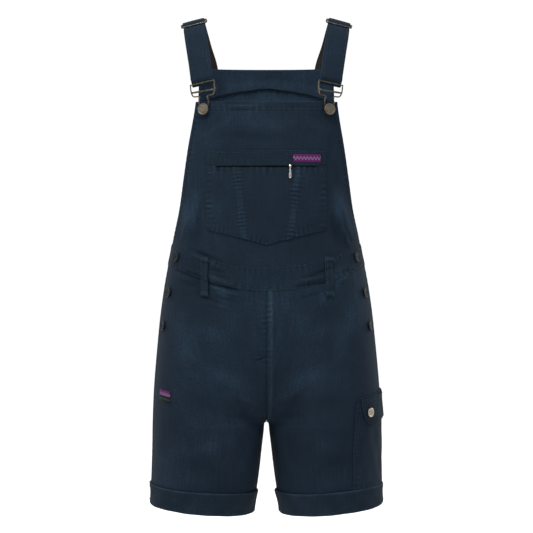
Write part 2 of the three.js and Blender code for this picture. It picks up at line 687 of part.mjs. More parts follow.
// Frame of the strap at a distance from the bib button: middle, direction, outward side and outward face
function strapFrame(route, length, side, distance) {
  const t = clamp(distance / length, 0, 1);
  const middle = route.getPointAt(t);
  const along = route.getTangentAt(t);
  const lean = THREE.MathUtils.smoothstep(t, 0, 0.45) * (1 - 0.75 * THREE.MathUtils.smoothstep(t, 0.6, 1));
  const frontTurn = 0.34 * (1 - THREE.MathUtils.smoothstep(t, 0.1, 0.5));
  const backTurn = -0.3 * THREE.MathUtils.smoothstep(t, 0.6, 0.95);
  const across = new THREE.Vector3(side, frontTurn + backTurn, -0.13 - 0.14 * lean);
  across.addScaledVector(along, -across.dot(along)).normalize();
  const face = new THREE.Vector3().crossVectors(across, along).multiplyScalar(side).normalize();
  return { middle, along, across, face };
}

// A place given by its distance along the strap, its height over the strap's middle and its way across
function strapPlace(strap, distance, height, across) {
  const frame = strapFrame(strap.route, strap.length, strap.side, distance);
  return frame.middle.clone().addScaledVector(frame.face, height).addScaledVector(frame.across, across);
}

// A ribbon whose middle line is given as [distance, height] pairs
function ribbon(strap, line, half, thick) {
  const rings = line.map(([distance, height], j) => {
    const next = line[Math.min(j + 1, line.length - 1)];
    const before = line[Math.max(j - 1, 0)];
    const run = new THREE.Vector2(next[0] - before[0], next[1] - before[1]).normalize();
    const [offS, offH] = [(-run.y * thick) / 2, (run.x * thick) / 2];
    return [
      strapPlace(strap, distance + offS, height + offH, -half),
      strapPlace(strap, distance + offS, height + offH, half),
      strapPlace(strap, distance - offS, height - offH, half),
      strapPlace(strap, distance - offS, height - offH, -half),
    ];
  });
  return tube(rings);
}

// A closed outline with each corner cut twice, so that a wire bends round it
function roundedCorners(corners, cut) {
  return corners.flatMap((corner, i) => {
    const here = new THREE.Vector2(...corner);
    const before = new THREE.Vector2(...corners[(i + corners.length - 1) % corners.length]);
    const after = new THREE.Vector2(...corners[(i + 1) % corners.length]);
    const start = here.clone().addScaledVector(before.sub(here).normalize(), cut);
    const end = here.clone().addScaledVector(after.sub(here).normalize(), cut);
    const bend = start.clone().add(end).multiplyScalar(0.2).addScaledVector(here, 0.6);
    return [start, bend, end].map((point) => point.toArray());
  });
}

// Points of a half turn round a bar: from one angle to another in degrees
function turnRound(distance, height, radius, from, to, steps) {
  return Array.from({ length: steps + 1 }, (_, i) => {
    const angle = THREE.MathUtils.degToRad(mix(from, to, i / steps));
    return [distance + radius * Math.cos(angle), height + radius * Math.sin(angle)];
  });
}

function buildStrap(side) {
  const route = strapRoute(side);
  const strap = { route, length: route.getLength(), side };
  const reach = WIRE + SEAM_GAP + STRAP_THICK / 2;
  const sliderAt = strap.length * 0.536;
  const barGap = 11;
  const lower = BUCKLE_RISE;
  const upper = sliderAt - barGap;

  // Front strap: up the outside, over the slider's front bar to its middle bar, and back inside from the buckle
  const folded = (distance, from) => THREE.MathUtils.smoothstep(distance, from, from + 14);
  const spread = (distance, from) => mix(reach, STRAP_THICK / 2 + 0.25, folded(distance, from));
  const line = [];
  const steps = 9;
  for (let i = steps; i >= 0; i--) {
    const distance = mix(lower + 2, upper - 5, i / steps);
    line.push([distance, -spread(distance, lower)]);
  }
  line.push(...turnRound(lower, 0, reach, 270, 90, 5));
  for (let i = 0; i <= steps; i++) {
    const distance = mix(lower + 2, upper - 3, i / steps);
    line.push([distance, spread(distance, lower)]);
  }
  line.push([upper, BAR + SEAM_GAP + STRAP_THICK / 2 + 0.1], [upper + 4, BAR + 1.2], [sliderAt - 2.6, 2]);
  addPiece(`front_strap_${sideName(side)}`, ribbon(strap, line, STRAP_HALF, STRAP_THICK), NAVY);

  // Rear strap: from the slider's middle bar over its rear bar and down to the back panel
  const overBar = BAR + SEAM_GAP + STRAP_THICK / 2 + 0.1;
  const rear = [
    [sliderAt + 2.6, 2],
    [sliderAt + barGap - 4, BAR + 1.2],
    [sliderAt + barGap, overBar],
  ];
  for (let i = 1; i <= 12; i++) {
    const distance = mix(sliderAt + barGap, strap.length, i / 12);
    rear.push([distance, mix(2, 0, Math.min(1, i / 3))]);
  }
  addPiece(`rear_strap_${sideName(side)}`, ribbon(strap, rear, STRAP_HALF, STRAP_THICK), WEBBING, 0.85);

  // Slider: a frame with a middle bar
  const frame = strapFrame(route, strap.length, side, sliderAt);
  const local = (distance, across) => strapPlace(strap, sliderAt + distance, 0, across);
  const half = STRAP_HALF + 3;
  const corners = [
    [-barGap, -half],
    [-barGap, half],
    [barGap, half],
    [barGap, -half],
  ];
  const outline = roundedCorners(corners, 2.4).map(([s, w]) => local(s, w));
  const rim = wire(outline, BAR, 6, frame.face, true);
  const middleBar = wire([local(0, -half), local(0, half)], WIRE, 6, frame.face);
  addPiece(`slider_${sideName(side)}`, joined(rim, middleBar), BRONZE, 0.45, 1);

  // Buckle: a wire loop that the strap turns round, a bar, and a keyhole round the button's shank
  const right = [
    [BUCKLE_RISE, 0],
    [BUCKLE_RISE, 19.3],
    [BUCKLE_RISE - 1.4, 20.8],
    [BUCKLE_RISE - 8, 21.1],
    [BUCKLE_RISE - 14, 20.6],
    [BUCKLE_RISE - 19.5, 18.8],
    [BUCKLE_RISE - 21.8, 15.5],
    [BUCKLE_RISE - 22, 9.5],
    [BUCKLE_RISE - 24, 6.8],
    [BUCKLE_RISE - 28, 7.6],
    [BUCKLE_RISE - 33, 8.2],
    [5, 6.8],
    [1, 5.7],
    [-2.6, 4.4],
    [-4.7, 2.2],
    [-5.1, 0],
  ];
  const keyhole = [...right, ...right.slice(1, -1).reverse().map(([s, w]) => [s, -w])];
  const loop = keyhole.map(([s, w]) => bucklePlace(strap, s, w));
  const hoop = wire(loop, WIRE, 6, strapFrame(route, strap.length, side, 10).face, true);
  const ends = [-20.6, 20.6].map((w) => bucklePlace(strap, BUCKLE_RISE - 14, w));
  const bar = wire(ends, BAR, 8, frame.along);
  addPiece(`buckle_${sideName(side)}`, joined(hoop, bar), BRONZE, 0.45, 1);
}

// A place on the buckle. Below the button the wire goes straight on.
function bucklePlace(strap, distance, across) {
  if (distance >= 0) return strapPlace(strap, distance, 0, across);
  const frame = strapFrame(strap.route, strap.length, strap.side, 0);
  return frame.middle.clone().addScaledVector(frame.along, distance).addScaledVector(frame.across, across);
}

buildLegs();
buildWaistbands();
buildBib();
buildBack();
buildFacing();
buildCuffs();
buildBibPocket();
buildZip();
buildBeltLoops();
buildCargoPocket();
buildSideLabel();
buildButtons();
buildStrap(1);
buildStrap(-1);

export default garment;
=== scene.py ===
"""Dresses the navy twill shortalls: cloth shells with seams and creases, stitches, straps and metal trims."""

import json
import logging
import math
from dataclasses import dataclass, field
from enum import Enum
from functools import partial
from typing import Callable, Sequence

import bmesh
import bpy
import numpy as np
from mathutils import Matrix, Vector

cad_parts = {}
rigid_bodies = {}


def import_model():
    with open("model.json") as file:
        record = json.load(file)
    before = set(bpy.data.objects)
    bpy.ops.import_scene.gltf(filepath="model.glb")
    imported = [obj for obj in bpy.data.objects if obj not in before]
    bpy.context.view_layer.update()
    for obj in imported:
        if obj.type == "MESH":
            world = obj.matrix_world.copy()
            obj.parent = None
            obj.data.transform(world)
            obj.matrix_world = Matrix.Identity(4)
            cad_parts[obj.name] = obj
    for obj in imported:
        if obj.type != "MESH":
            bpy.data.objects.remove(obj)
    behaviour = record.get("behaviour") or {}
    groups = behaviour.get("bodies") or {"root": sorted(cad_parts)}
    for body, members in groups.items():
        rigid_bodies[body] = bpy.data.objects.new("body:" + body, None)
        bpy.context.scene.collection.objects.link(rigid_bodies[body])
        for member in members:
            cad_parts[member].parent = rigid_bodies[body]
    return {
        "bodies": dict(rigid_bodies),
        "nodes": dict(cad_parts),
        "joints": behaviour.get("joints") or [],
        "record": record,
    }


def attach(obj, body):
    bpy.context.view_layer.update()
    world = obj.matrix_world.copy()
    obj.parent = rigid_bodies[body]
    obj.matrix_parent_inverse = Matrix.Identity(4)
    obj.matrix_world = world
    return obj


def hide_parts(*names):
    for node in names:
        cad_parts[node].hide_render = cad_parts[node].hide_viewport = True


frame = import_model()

LOG = logging.getLogger("shortalls")
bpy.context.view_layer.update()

Array = np.ndarray
Tree = bpy.types.NodeTree
Socket = bpy.types.NodeSocket
Piece = bpy.types.Object

# Every size is in millimetres. +X is the wearer's left, -Y the front, and the origin is at the shoulders.
MM = 0.001
QUARTER = math.pi / 2
BODY = "garment"
PULL_BODY = "zip_pull"

CLOTH = 1.6
DOUBLE_CLOTH = 2.2
SEAM_GAP = 0.3

YOKE_TOP = -74.0
BIB_TOP = -146.0
WAISTBAND_TOP = -384.0
WAISTBAND_BOTTOM = -415.0
CROTCH = -681.0
CUFF_TOP = -783.5
HEM = -817.0
RISE_BLEND = 105.0
THIGH_BLEND = 220.0
CROTCH_STEP = 3.0

# How much the fine creases are deepened, and how much paler the cloth's wrong side and rims are: partly the
# real paler warp, partly painted light that lifts the shaded inside of the garment
CREASE_DEPTH = 1.35
WRONG_SIDE_PALE_AND_PAINTED_LIGHT = 0.8

POCKET_HALF = 97.0
POCKET_TOP = -256.5
POCKET_CORNER = -358.0
POCKET_POINT = -383.0
BAND_TOP = -230.0
BAND_BOTTOM = -251.4
ZIP_HALF = 86.0
SLIDER_X = 38.5


class Slot(Enum):
    """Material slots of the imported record."""

    TWILL = "twill"
    WEBBING = "webbing"
    BRONZE = "bronze"
    GUNMETAL = "gunmetal"
    NICKEL = "nickel"
    SILVER = "silver"
    ZIP_TAPE = "zip_tape"
    PURPLE = "label_purple"
    GREEN = "label_green"


class Held(Enum):
    """How a sheet of cloth is held."""

    HUNG = "hung"
    FOLDED = "folded"


def smoothstep(value: Array, low: float, high: float) -> Array:
    """Eases from 0 at low to 1 at high.

    Args:
        value: what is eased.
        low: where the step starts.
        high: where it ends.

    Returns:
        Values from 0 to 1.
    """
    t = np.clip((np.asarray(value, float) - low) / (high - low), 0, 1)
    return t * t * (3 - 2 * t)


def mix(start: Array, end: Array, share: Array) -> Array:
    """The value a share of the way from start to end."""
    return start + (end - start) * share


def signed_power(value: Array, power: Array) -> Array:
    """A power that keeps the sign."""
    return np.sign(value) * np.abs(value) ** power


def unit(vectors: Array) -> Array:
    """Vectors of length one in the same directions."""
    return vectors / np.maximum(np.linalg.norm(vectors, axis=-1, keepdims=True), 1e-9)


def mirrored(side: Array) -> Array:
    """Factors that turn points of the left half into those of each side."""
    return np.stack([side, np.ones_like(side), np.ones_like(side)], -1)


def graded(
    length: float, step: float, spots: Sequence[float] = (), fine: float = 0.8, reach: float = 3.0
) -> Array:
    """Places from 0 to 1 along a length, closer together near its ends and round each spot.

    Args:
        length: the whole length.
        step: distance between places away from the spots.
        spots: lengths where seams need closer places.
        fine: distance between places at a spot.
        reach: how far from a spot the places stay close.

    Returns:
        Rising shares of the length, with both ends.
    """
    s = np.linspace(0, length, 2000)
    density = np.full_like(s, 1 / step)
    for spot in spots:
        density = np.maximum(density, (1 / fine) * np.exp(-(((s - spot) / reach) ** 2)))
    count = np.concatenate([[0], np.cumsum((density[1:] + density[:-1]) / 2 * np.diff(s))])
    steps = max(2, int(round(count[-1])))
    inner = np.interp(np.linspace(0, count[-1], steps + 1), count, s)
    rim = 0.5
    kept = inner[(inner > 2 * rim) & (inner < length - 2 * rim)]
    return np.concatenate([[0, rim], kept, [length - rim, length]]) / length


@dataclass(frozen=True)
class SectionTable:
    """Sections by level with named columns, smooth between the rows. The first column is the level."""

    columns: tuple[str, ...]
    rows: tuple[tuple[float, ...], ...]

    def at(self, level: Array) -> dict[str, Array]:
        """Sections at the given levels.

        Args:
            level: heights of the side seam.

        Returns:
            Each column's values there.
        """
        rows = np.array(self.rows, float)
        levels = rows[:, 0]
        z = np.clip(level, levels[-1], levels[0])
        i = np.clip(np.searchsorted(-levels, -z) - 1, 0, len(levels) - 2)
        a, b = rows[i], rows[i + 1]
        before, after = rows[np.maximum(i - 1, 0)], rows[np.minimum(i + 2, len(levels) - 1)]
        span = b[..., :1] - a[..., :1]
        t = (z[..., None] - a[..., :1]) / span
        slope_a = (b - before) / (b[..., :1] - before[..., :1]) * span
        slope_b = (after - a) / (after[..., :1] - a[..., :1]) * span
        value = a * (2 * t**3 - 3 * t**2 + 1) + b * (3 * t**2 - 2 * t**3)
        value = value + slope_a * (t**3 - 2 * t**2 + t) + slope_b * (t**3 - t**2)
        return {name: value[..., k] for k, name in enumerate(self.columns)}


# half: width from the centre to the side seam. front, back: depth. round: 2 is an ellipse, more is squarer.
# dip: how far a row sags at centre front. bib, rear: half widths of the bib and of the back at that level.
TRUNK = SectionTable(
    ("level", "half", "front", "back", "round", "dip", "bib", "rear"),
    (
        (-71, 156, 96, 80, 2.6, 0, 112, 116),
        (-146, 157, 102, 88, 2.6, 3, 116.5, 119),
        (-219, 157, 107, 90, 2.6, 7, 128.5, 125),
        (-271, 156.5, 110, 90, 2.5, 13, 136.5, 132),
        (-324, 157, 111, 90, 2.4, 24, 145, 141),
        (-384, 159.5, 112, 92, 2.3, 37, 159.5, 159.5),
        (-415, 165, 114, 97, 2.3, 43, 165, 165),
        (-460, 172.3, 117, 106, 2.3, 36, 172.3, 172.3),
        (-527, 181, 118, 115, 2.3, 14, 181, 181),
        (-605, 188, 117, 121, 2.3, 0, 188, 188),
        (-681, 192, 113, 120, 2.3, 0, 192, 192),
    ),
)

# tilt: how far each millimetre inward from the side lowers a row
LEG = SectionTable(
    ("level", "inner", "outer", "front", "back", "round", "tilt"),
    (
        (-461, 2, 173, 115, 108, 2.3, 0),
        (-605, 2, 188, 115.5, 119, 2.2, 0),
        (-681, 4, 192.3, 109, 114, 2.1, 0.01),
        (-717, 9, 193, 103, 107, 2, 0.03),
        (-771, 16.5, 193.7, 97, 101, 2, 0.07),
        (-817, 24, 194, 94, 98, 2, 0.09),
    ),
)

# Folds in front or back view: from (x, z) to (x, z), half width, and height, below zero for a trough.
# The first rows are the garment's main folds, and the rest are finer creases round them.
FRONT_FOLDS = (
    (112, -292, 140, -366, 10, 3.6),
    (104, -340, 128, -388, 9, -2.6),
    (-116, -300, -134, -360, 12, 3),
    (-104, -345, -120, -384, 9, -2.2),
    (-92, -425, -66, -478, 11, 3),
    (-126, -420, -100, -468, 9, -2.4),
    (120, -425, 92, -480, 11, 2.8),
    (26, -618, 96, -588, 15, 2),
    (-26, -622, -98, -584, 15, 1.8),
    (36, -652, 116, -640, 14, -1.8),
    (-36, -656, -118, -642, 14, -1.6),
    (150, -470, 120, -560, 16, 2.6),
    (-152, -480, -128, -570, 16, 2.4),
)
BACK_FOLDS = (
    (24, -606, 110, -572, 16, 2.6),
    (-26, -612, -104, -578, 16, 2.4),
    (32, -652, 128, -640, 14, -2),
    (-34, -658, -122, -646, 14, -1.8),
    (60, -430, 44, -500, 12, 2.4),
    (-70, -428, -52, -510, 12, 2.6),
    (10, -330, 60, -372, 10, 2.4),
    (-16, -322, -72, -368, 10, 2.2),
)
FRONT_CREASES = (
    (115, -318, 135, -380, 2.4, 1.9),
    (127, -348, 133, -388, 2.1, -1.6),
    (101, -300, 120, -350, 3, 1),
    (136, -322, 150, -372, 2.4, 1),
    (121, -330, 140, -378, 2.1, -1.3),
    (-115, -318, -130, -360, 3.6, 1.7),
    (-104, -312, -114, -352, 3, -1.2),
    (-126, -336, -142, -376, 2.7, 1),
    (-128, -389, -74, -411, 2.4, -1.7),
    (-123, -399, -81, -416, 2.4, 1.5),
    (-140, -429, -106, -441, 2.4, -1.5),
    (-136, -420, -104, -431, 2.4, 1.2),
    (-99, -444, -48, -457, 2.5, -2.3),
    (-94, -433, -60, -448, 2.5, 1.9),
    (-96, -423, -70, -429, 2.2, -1.6),
    (-90, -452, -44, -466, 2.7, 1.7),
    (-116, -462, -88, -474, 2.4, -1.3),
    (-86, -466, -52, -476, 3, -1.2),
    (46, -452, 97, -443, 2.4, -1.7),
    (52, -443, 98, -434, 2.4, 1.3),
    (78, -430, 109, -421, 2.2, -1.5),
    (95, -406, 114, -409, 2.4, 1.3),
    (112, -442, 98, -476, 3, -1.1),
    (132, -430, 112, -452, 3, 1.1),
    (-18, -565, -3, -560, 1.7, -1.3),
    (-18, -571, -3, -566, 1.7, -1.3),
    (-18, -568, -3, -563, 1.5, 0.9),
    (-70, -151, -26, -152, 2.6, -0.9),
    (-56, -162, -20, -162.5, 2.8, -0.9),
    (-62, -157, -16, -157, 2.6, 0.7),
    (30, -156, 66, -158, 2.8, -0.7),
    (-93, -409, -74, -416, 2, -1.1),
    (-92, -421, -78, -424, 1.8, -0.9),
    (-93, -430, -66, -437, 2, -1.1),
    (-95, -438, -72, -444, 1.8, 0.9),
    (-84, -455, -60, -460, 1.8, -0.9),
    (-148, -424, -116, -434, 2.2, -1.1),
    (-150, -432, -118, -443, 2.2, 1),
    (-146, -442, -116, -452, 2.2, -1),
    (-96, -470, -70, -482, 2.6, -1),
    (-92, -476, -56, -490, 3, 0.9),
    (84, -448, 96, -445, 1.8, -1),
    (60, -437, 94, -430, 2, -1),
    (112, -432, 134, -424, 2.2, -1),
    (110, -446, 132, -436, 2.2, 1),
    (88, -462, 58, -470, 2.6, -0.9),
    (12, -640, 52, -622, 4.2, 1.1),
    (-12, -644, -56, -626, 4.2, 1),
    (10, -664, 60, -664, 3.6, -0.9),
    (-10, -668, -64, -664, 3.6, -0.9),
    (60, -700, 128, -716, 14, 1),
    (-58, -706, -132, -722, 14, 1),
    (84, -744, 150, -736, 12, -0.9),
    (-80, -750, -148, -742, 12, -0.9),
    (-60, -540, -120, -520, 15, 1),
    (58, -532, 124, -514, 15, 1),
    (-40, -186, 44, -190, 12, 0.9),
    (-70, -206, 30, -212, 9, -0.8),
    (60, -178, 104, -200, 8, 0.9),
    (-62, -180, -102, -204, 8, 0.9),
)
BACK_CREASES = (
    (12, -640, 60, -620, 4.2, 1.3),
    (-12, -644, -62, -626, 4.2, 1.2),
    (12, -664, 74, -662, 3.6, -1.1),
    (-12, -668, -70, -664, 3.6, -1.1),
    (30, -520, 96, -500, 12, 1),
    (-28, -530, -100, -508, 12, 1),
    (58, -700, 130, -716, 14, 1),
    (-60, -706, -128, -724, 14, 1),
    (36, -344, 74, -378, 3.6, -1),
    (-40, -338, -80, -376, 3.6, -1),
    (70, -300, 100, -350, 8, 1.1),
    (-66, -306, -98, -356, 8, 1.1),
    (96, -422, 74, -462, 3.6, 1.1),
    (-98, -424, -72, -470, 3.6, 1.1),
    (20, -150, 70, -182, 11, 0.9),
    (-24, -160, -78, -190, 11, 0.9),
    (110, -560, 140, -610, 14, -1),
    (-108, -566, -142, -616, 14, -1),
)
# Long slow unevenness of the cloth: waves in x, y and z, each with its height
SLACK_WAVES = (
    (31.0, 90.0, 47.0, 0.45),
    (-58.0, 44.0, 29.0, 0.35),
    (83.0, -35.0, -71.0, 0.6),
    (19.0, 60.0, 120.0, 0.2),
)


def pocket_bottom(x: Array) -> Array:
    """Height of the bib pocket's lower edge, lowest at its middle."""
    return mix(POCKET_POINT, POCKET_CORNER, np.minimum(1, np.abs(x) / POCKET_HALF) ** 0.9)


def fold_height(folds: Sequence[Sequence[float]], x: Array, z: Array) -> Array:
    """Height of a table of folds.

    Args:
        folds: rows of start, end, half width and height.
        x: places across, in front or back view.
        z: their heights.

    Returns:
        How far each place stands out.
    """
    height = np.zeros_like(x)
    for x0, z0, x1, z1, spread, rise in folds:
        dx, dz = x1 - x0, z1 - z0
        along = ((x - x0) * dx + (z - z0) * dz) / (dx * dx + dz * dz)
        held = np.clip(along, 0, 1)
        away = np.hypot(x - x0 - held * dx, z - z0 - held * dz)
        taper = np.sin(math.pi * np.clip(0.15 + 0.7 * along, 0, 1))
        height = height + rise * np.exp(-((away / spread) ** 2)) * taper
    return height


class GarmentForm:
    """The hollow form of the garment as worn, which every panel of cloth follows."""

    def point(self, angle: Array, level: Array) -> Array:
        """Points of the smooth form of one half.

        Args:
            angle: from minus a quarter turn at centre front, by 0 at the side, to a quarter turn at the back.
            level: height of the side seam.

        Returns:
            Points with x from the centre outward.
        """
        trunk, leg = TRUNK.at(level), LEG.at(level)
        front = angle < 0
        power = 2 / trunk["round"]
        trunk_x = trunk["half"] * signed_power(np.cos(angle), power)
        trunk_y = np.where(front, trunk["front"], trunk["back"]) * signed_power(np.sin(angle), power)
        middle, reach = (leg["inner"] + leg["outer"]) / 2, (leg["outer"] - leg["inner"]) / 2
        leg_x = middle + reach * signed_power(np.cos(2 * angle), 2 / leg["round"])
        leg_y = np.where(front, leg["front"], leg["back"]) * signed_power(np.sin(2 * angle), 2 / leg["round"])
        rise_height = np.clip((level - CROTCH) / RISE_BLEND, 0, 1)
        rise = 1 - np.sqrt(1 - (1 - rise_height) ** 2)
        thigh = smoothstep(-level, -CROTCH - THIGH_BLEND, -CROTCH)
        share = np.clip(mix(thigh, rise, np.abs(np.sin(angle)) ** 6), 0, 1)
        joined_above = np.abs(np.sin(angle)) ** 12 * smoothstep(level, CROTCH - 1, CROTCH + CROTCH_STEP - 1)
        x = mix(trunk_x, leg_x, share) - leg["inner"] * share * joined_above
        across = np.minimum(1, np.abs(trunk_x) / trunk["half"])
        dip = np.where(front, trunk["dip"] * (1 - across**2), 0)
        tilt = np.where(level < CROTCH, leg["tilt"] * (leg["outer"] - x), 0)
        return np.stack([x, mix(trunk_y, leg_y, share), level - dip - tilt], -1)

    def frame(self, angle: Array, level: Array) -> tuple[Array, Array]:
        """Points of the smooth form and its outward directions there.

        Args:
            angle: angle round the section.
            level: height of each place.

        Returns:
            The points, and the unit direction out of the cloth at each.
        """
        inside = np.clip(angle, -QUARTER + 0.02, QUARTER - 0.02)
        across = self.point(inside + 0.01, level) - self.point(inside - 0.01, level)
        down = self.point(inside, level - 1) - self.point(inside, level + 1)
        return self.point(angle, level), unit(np.cross(down, across))

    def relief(self, angle: Array, x: Array, y: Array, z: Array) -> Array:
        """Height of all folds and creases at places of the form.

        Args:
            angle: below zero on the front.
            x: signed place across.
            y: depth.
            z: height.

        Returns:
            How far the cloth stands out there.
        """
        clear = smoothstep(np.abs(x), POCKET_HALF + 2, POCKET_HALF + 16)
        below = smoothstep(pocket_bottom(x) - z, 4, 18)
        above = smoothstep(z - BAND_TOP, 6, 26)
        open_front = np.maximum(np.maximum(clear, below), above)
        front = fold_height(FRONT_FOLDS, x, z) + CREASE_DEPTH * fold_height(FRONT_CREASES, x, z)
        back = fold_height(BACK_FOLDS, x, z) + CREASE_DEPTH * fold_height(BACK_CREASES, x, z)
        height = np.where(angle < 0, front * open_front, back) * smoothstep(np.abs(y), 5, 40)
        for k, (wide, deep, tall, rise) in enumerate(SLACK_WAVES):
            height = height + rise * np.sin(x / wide + y / deep + z / tall + 1.7 * k)
        return height

    def cloth(self, angle: Array, level: Array, side: Array, lift: Array = 0.0) -> tuple[Array, Array]:
        """Points of the garment's outer face, moved out by a lift.

        Args:
            angle: angle about one half.
            level: height of the side seam.
            side: 1 for the wearer's left and -1 for the right.
            lift: distance out of the face.

        Returns:
            Points and outward directions.
        """
        angle, level, side, lift = np.broadcast_arrays(
            *(np.asarray(value, float) for value in (angle, level, side, lift))
        )
        point, out = self.frame(angle, level)
        height = self.relief(angle, side * point[..., 0], point[..., 1], point[..., 2])
        moved = point + out * (height + lift)[..., None]
        return moved * mirrored(side), out * mirrored(side)

    def place(self, x: Array, z: Array, face: int) -> tuple[Array, Array, Array]:
        """Angle, level and side of a front or back view place on the trunk.

        Args:
            x: signed place across.
            z: height.
            face: -1 for the front and 1 for the back.

        Returns:
            Angle, level and side.
        """
        x, z = np.broadcast_arrays(np.asarray(x, float), np.asarray(z, float))
        level = z.astype(float)
        for _ in range(12):
            trunk = TRUNK.at(level)
            across = np.minimum(1, np.abs(x) / trunk["half"])
            level = z + (trunk["dip"] * (1 - across**2) if face < 0 else 0)
        trunk = TRUNK.at(level)
        angle = face * np.arccos(np.clip(np.abs(x) / trunk["half"], 0, 1) ** (trunk["round"] / 2))
        return angle, level, np.where(x < 0, -1.0, 1.0)

    def edge_angle(self, level: Array, column: str) -> Array:
        """Angle at which a panel of the trunk ends at the side."""
        trunk = TRUNK.at(np.asarray(level, float))
        return np.arccos(np.clip(trunk[column] / trunk["half"], 0, 1) ** (trunk["round"] / 2))


FORM = GarmentForm()


@dataclass
class ClothLine:
    """A line on the cloth, such as a seam or a row of stitches."""

    angle: Array
    level: Array
    side: Array

    @classmethod
    def on_trunk(cls, x: Sequence[float], z: Sequence[float], face: int, steps: int = 120) -> "ClothLine":
        """A line through places given in front or back view.

        Args:
            x: places across.
            z: their heights.
            face: -1 for the front and 1 for the back.
            steps: how many spans it is drawn with.

        Returns:
            The line.
        """
        xs, zs = np.array(x, float), np.array(z, float)
        run = np.concatenate([[0], np.cumsum(np.hypot(np.diff(xs), np.diff(zs)))])
        at = np.linspace(0, run[-1], steps + 1)
        return cls(*FORM.place(np.interp(at, run, xs), np.interp(at, run, zs), face))

    @classmethod
    def down(cls, angle: float, top: float, bottom: float, side: float, steps: int = 120) -> "ClothLine":
        """A line that runs evenly down the cloth at one angle."""
        level = mix(top, bottom, np.linspace(0, 1, steps + 1))
        return cls(np.full(steps + 1, float(angle)), level, np.full(steps + 1, float(side)))

    def shifted(self, distance: float) -> "ClothLine":
        """The same line moved sideways over the cloth.

        Args:
            distance: millimetres to the left of the line's run, seen from outside.

        Returns:
            The moved line.
        """
        mirror = mirrored(self.side)
        point, out = FORM.frame(self.angle, self.level)
        point, out = point * mirror, out * mirror
        along = unit(np.gradient(point, axis=0))
        sideways = np.cross(out, along) * distance
        turn, step = 1e-3, 0.5
        by_angle = FORM.point(self.angle + turn, self.level) - FORM.point(self.angle - turn, self.level)
        by_angle = by_angle / (2 * turn) * mirror
        by_level = FORM.point(self.angle, self.level + step) - FORM.point(self.angle, self.level - step)
        by_level = by_level / (2 * step) * mirror
        aa, ab, bb = (by_angle**2).sum(-1), (by_angle * by_level).sum(-1), (by_level**2).sum(-1)
        wa, wb = (by_angle * sideways).sum(-1), (by_level * sideways).sum(-1)
        scale = 1 / np.maximum(aa * bb - ab * ab, 1e-6)
        angle = self.angle + (bb * wa - ab * wb) * scale
        return ClothLine(angle, self.level + (aa * wb - ab * wa) * scale, self.side)

    def base(self) -> Array:
        """Signed points of the smooth form along the line."""
        return FORM.point(self.angle, self.level) * mirrored(self.side)


@dataclass
class Seam:
    """A raised or puckered seam. half: half the width of its doubled strip. rise: the strip's height."""

    line: ClothLine
    half: float = 0.0
    rise: float = 0.0
    groove: float = 0.3
    pucker: float = 0.0
    pitch: float = 8.0
    reach: float = 9.0
    phase: float = 0.0

    def height(self, points: Array) -> Array:
        """How far the seam lifts the cloth.

        Args:
            points: signed points of the smooth form.

        Returns:
            Heights at the points.
        """
        path = self.line.base()
        start, step = path[:-1], np.diff(path, axis=0)
        size = np.maximum((step**2).sum(-1), 1e-9)
        run = np.concatenate([[0], np.cumsum(np.sqrt(size))])
        flat = points.reshape(-1, 3)
        best, along = np.full(len(flat), 1e9), np.zeros(len(flat))
        margin = max(self.reach * 3, self.half * 2 + 4)
        low, high = path.min(0) - margin, path.max(0) + margin
        near = np.nonzero(((flat > low) & (flat < high)).all(-1))[0]
        for k in range(len(start)):
            offset = flat[near] - start[k]
            t = np.clip(offset @ step[k] / size[k], 0, 1)
            away = np.linalg.norm(offset - t[:, None] * step[k], axis=-1)
            closer = away < best[near]
            best[near[closer]] = away[closer]
            along[near[closer]] = (run[k] + t * (run[k + 1] - run[k]))[closer]
        strip = self.rise * (1 - smoothstep(best, self.half - 0.8, self.half + 0.8)) if self.half else 0
        row = max(self.half - 1.4, 0)
        groove = self.groove * np.exp(-(((best - row) / 1.1) ** 2))
        turn = 2 * math.pi * along / self.pitch + self.phase
        wave = np.sin(turn + 1.3 * np.sin(along / 17 + self.phase))
        uneven = 0.62 + 0.38 * np.sin(along / 11 + 2 * self.phase)
        pucker = self.pucker * wave * uneven * np.exp(-((best / self.reach) ** 2))
        ends = smoothstep(along, -1, 4) if self.pucker else 1
        return (strip - groove + pucker * ends).reshape(points.shape[:-1])


def link(name: str, vertices: Array, faces: Sequence[Sequence[int]], smooth: bool = True) -> Piece:
    """Makes a mesh object from millimetre points.

    Args:
        name: the piece's name.
        vertices: points in millimetres.
        faces: corners of each face.
        smooth: whether its faces shade as one surface.

    Returns:
        The new object.
    """
    mesh = bpy.data.meshes.new(name)
    corners = [tuple(int(i) for i in face) for face in faces]
    mesh.from_pydata((np.asarray(vertices, float) * MM).tolist(), [], corners)
    if smooth:
        mesh.polygons.foreach_set("use_smooth", [True] * len(mesh.polygons))
    mesh.update()
    thing = bpy.data.objects.new(name, mesh)
    bpy.context.scene.collection.objects.link(thing)
    return thing


def faced_out(vertices: Array, faces: Array) -> Array:
    """Faces turned so that a closed mesh's normals point out.

    Args:
        vertices: the solid's points.
        faces: a row of point numbers for each face.

    Returns:
        The faces, all turned so that their normals look out.
    """
    a, b, c = vertices[faces[:, 0]], vertices[faces[:, 1]], vertices[faces[:, 2]]
    volume = (a * np.cross(b, c)).sum()
    if faces.shape[1] == 4:
        d = vertices[faces[:, 3]]
        volume += (a * np.cross(c, d)).sum()
    return faces[:, ::-1] if volume < 0 else faces


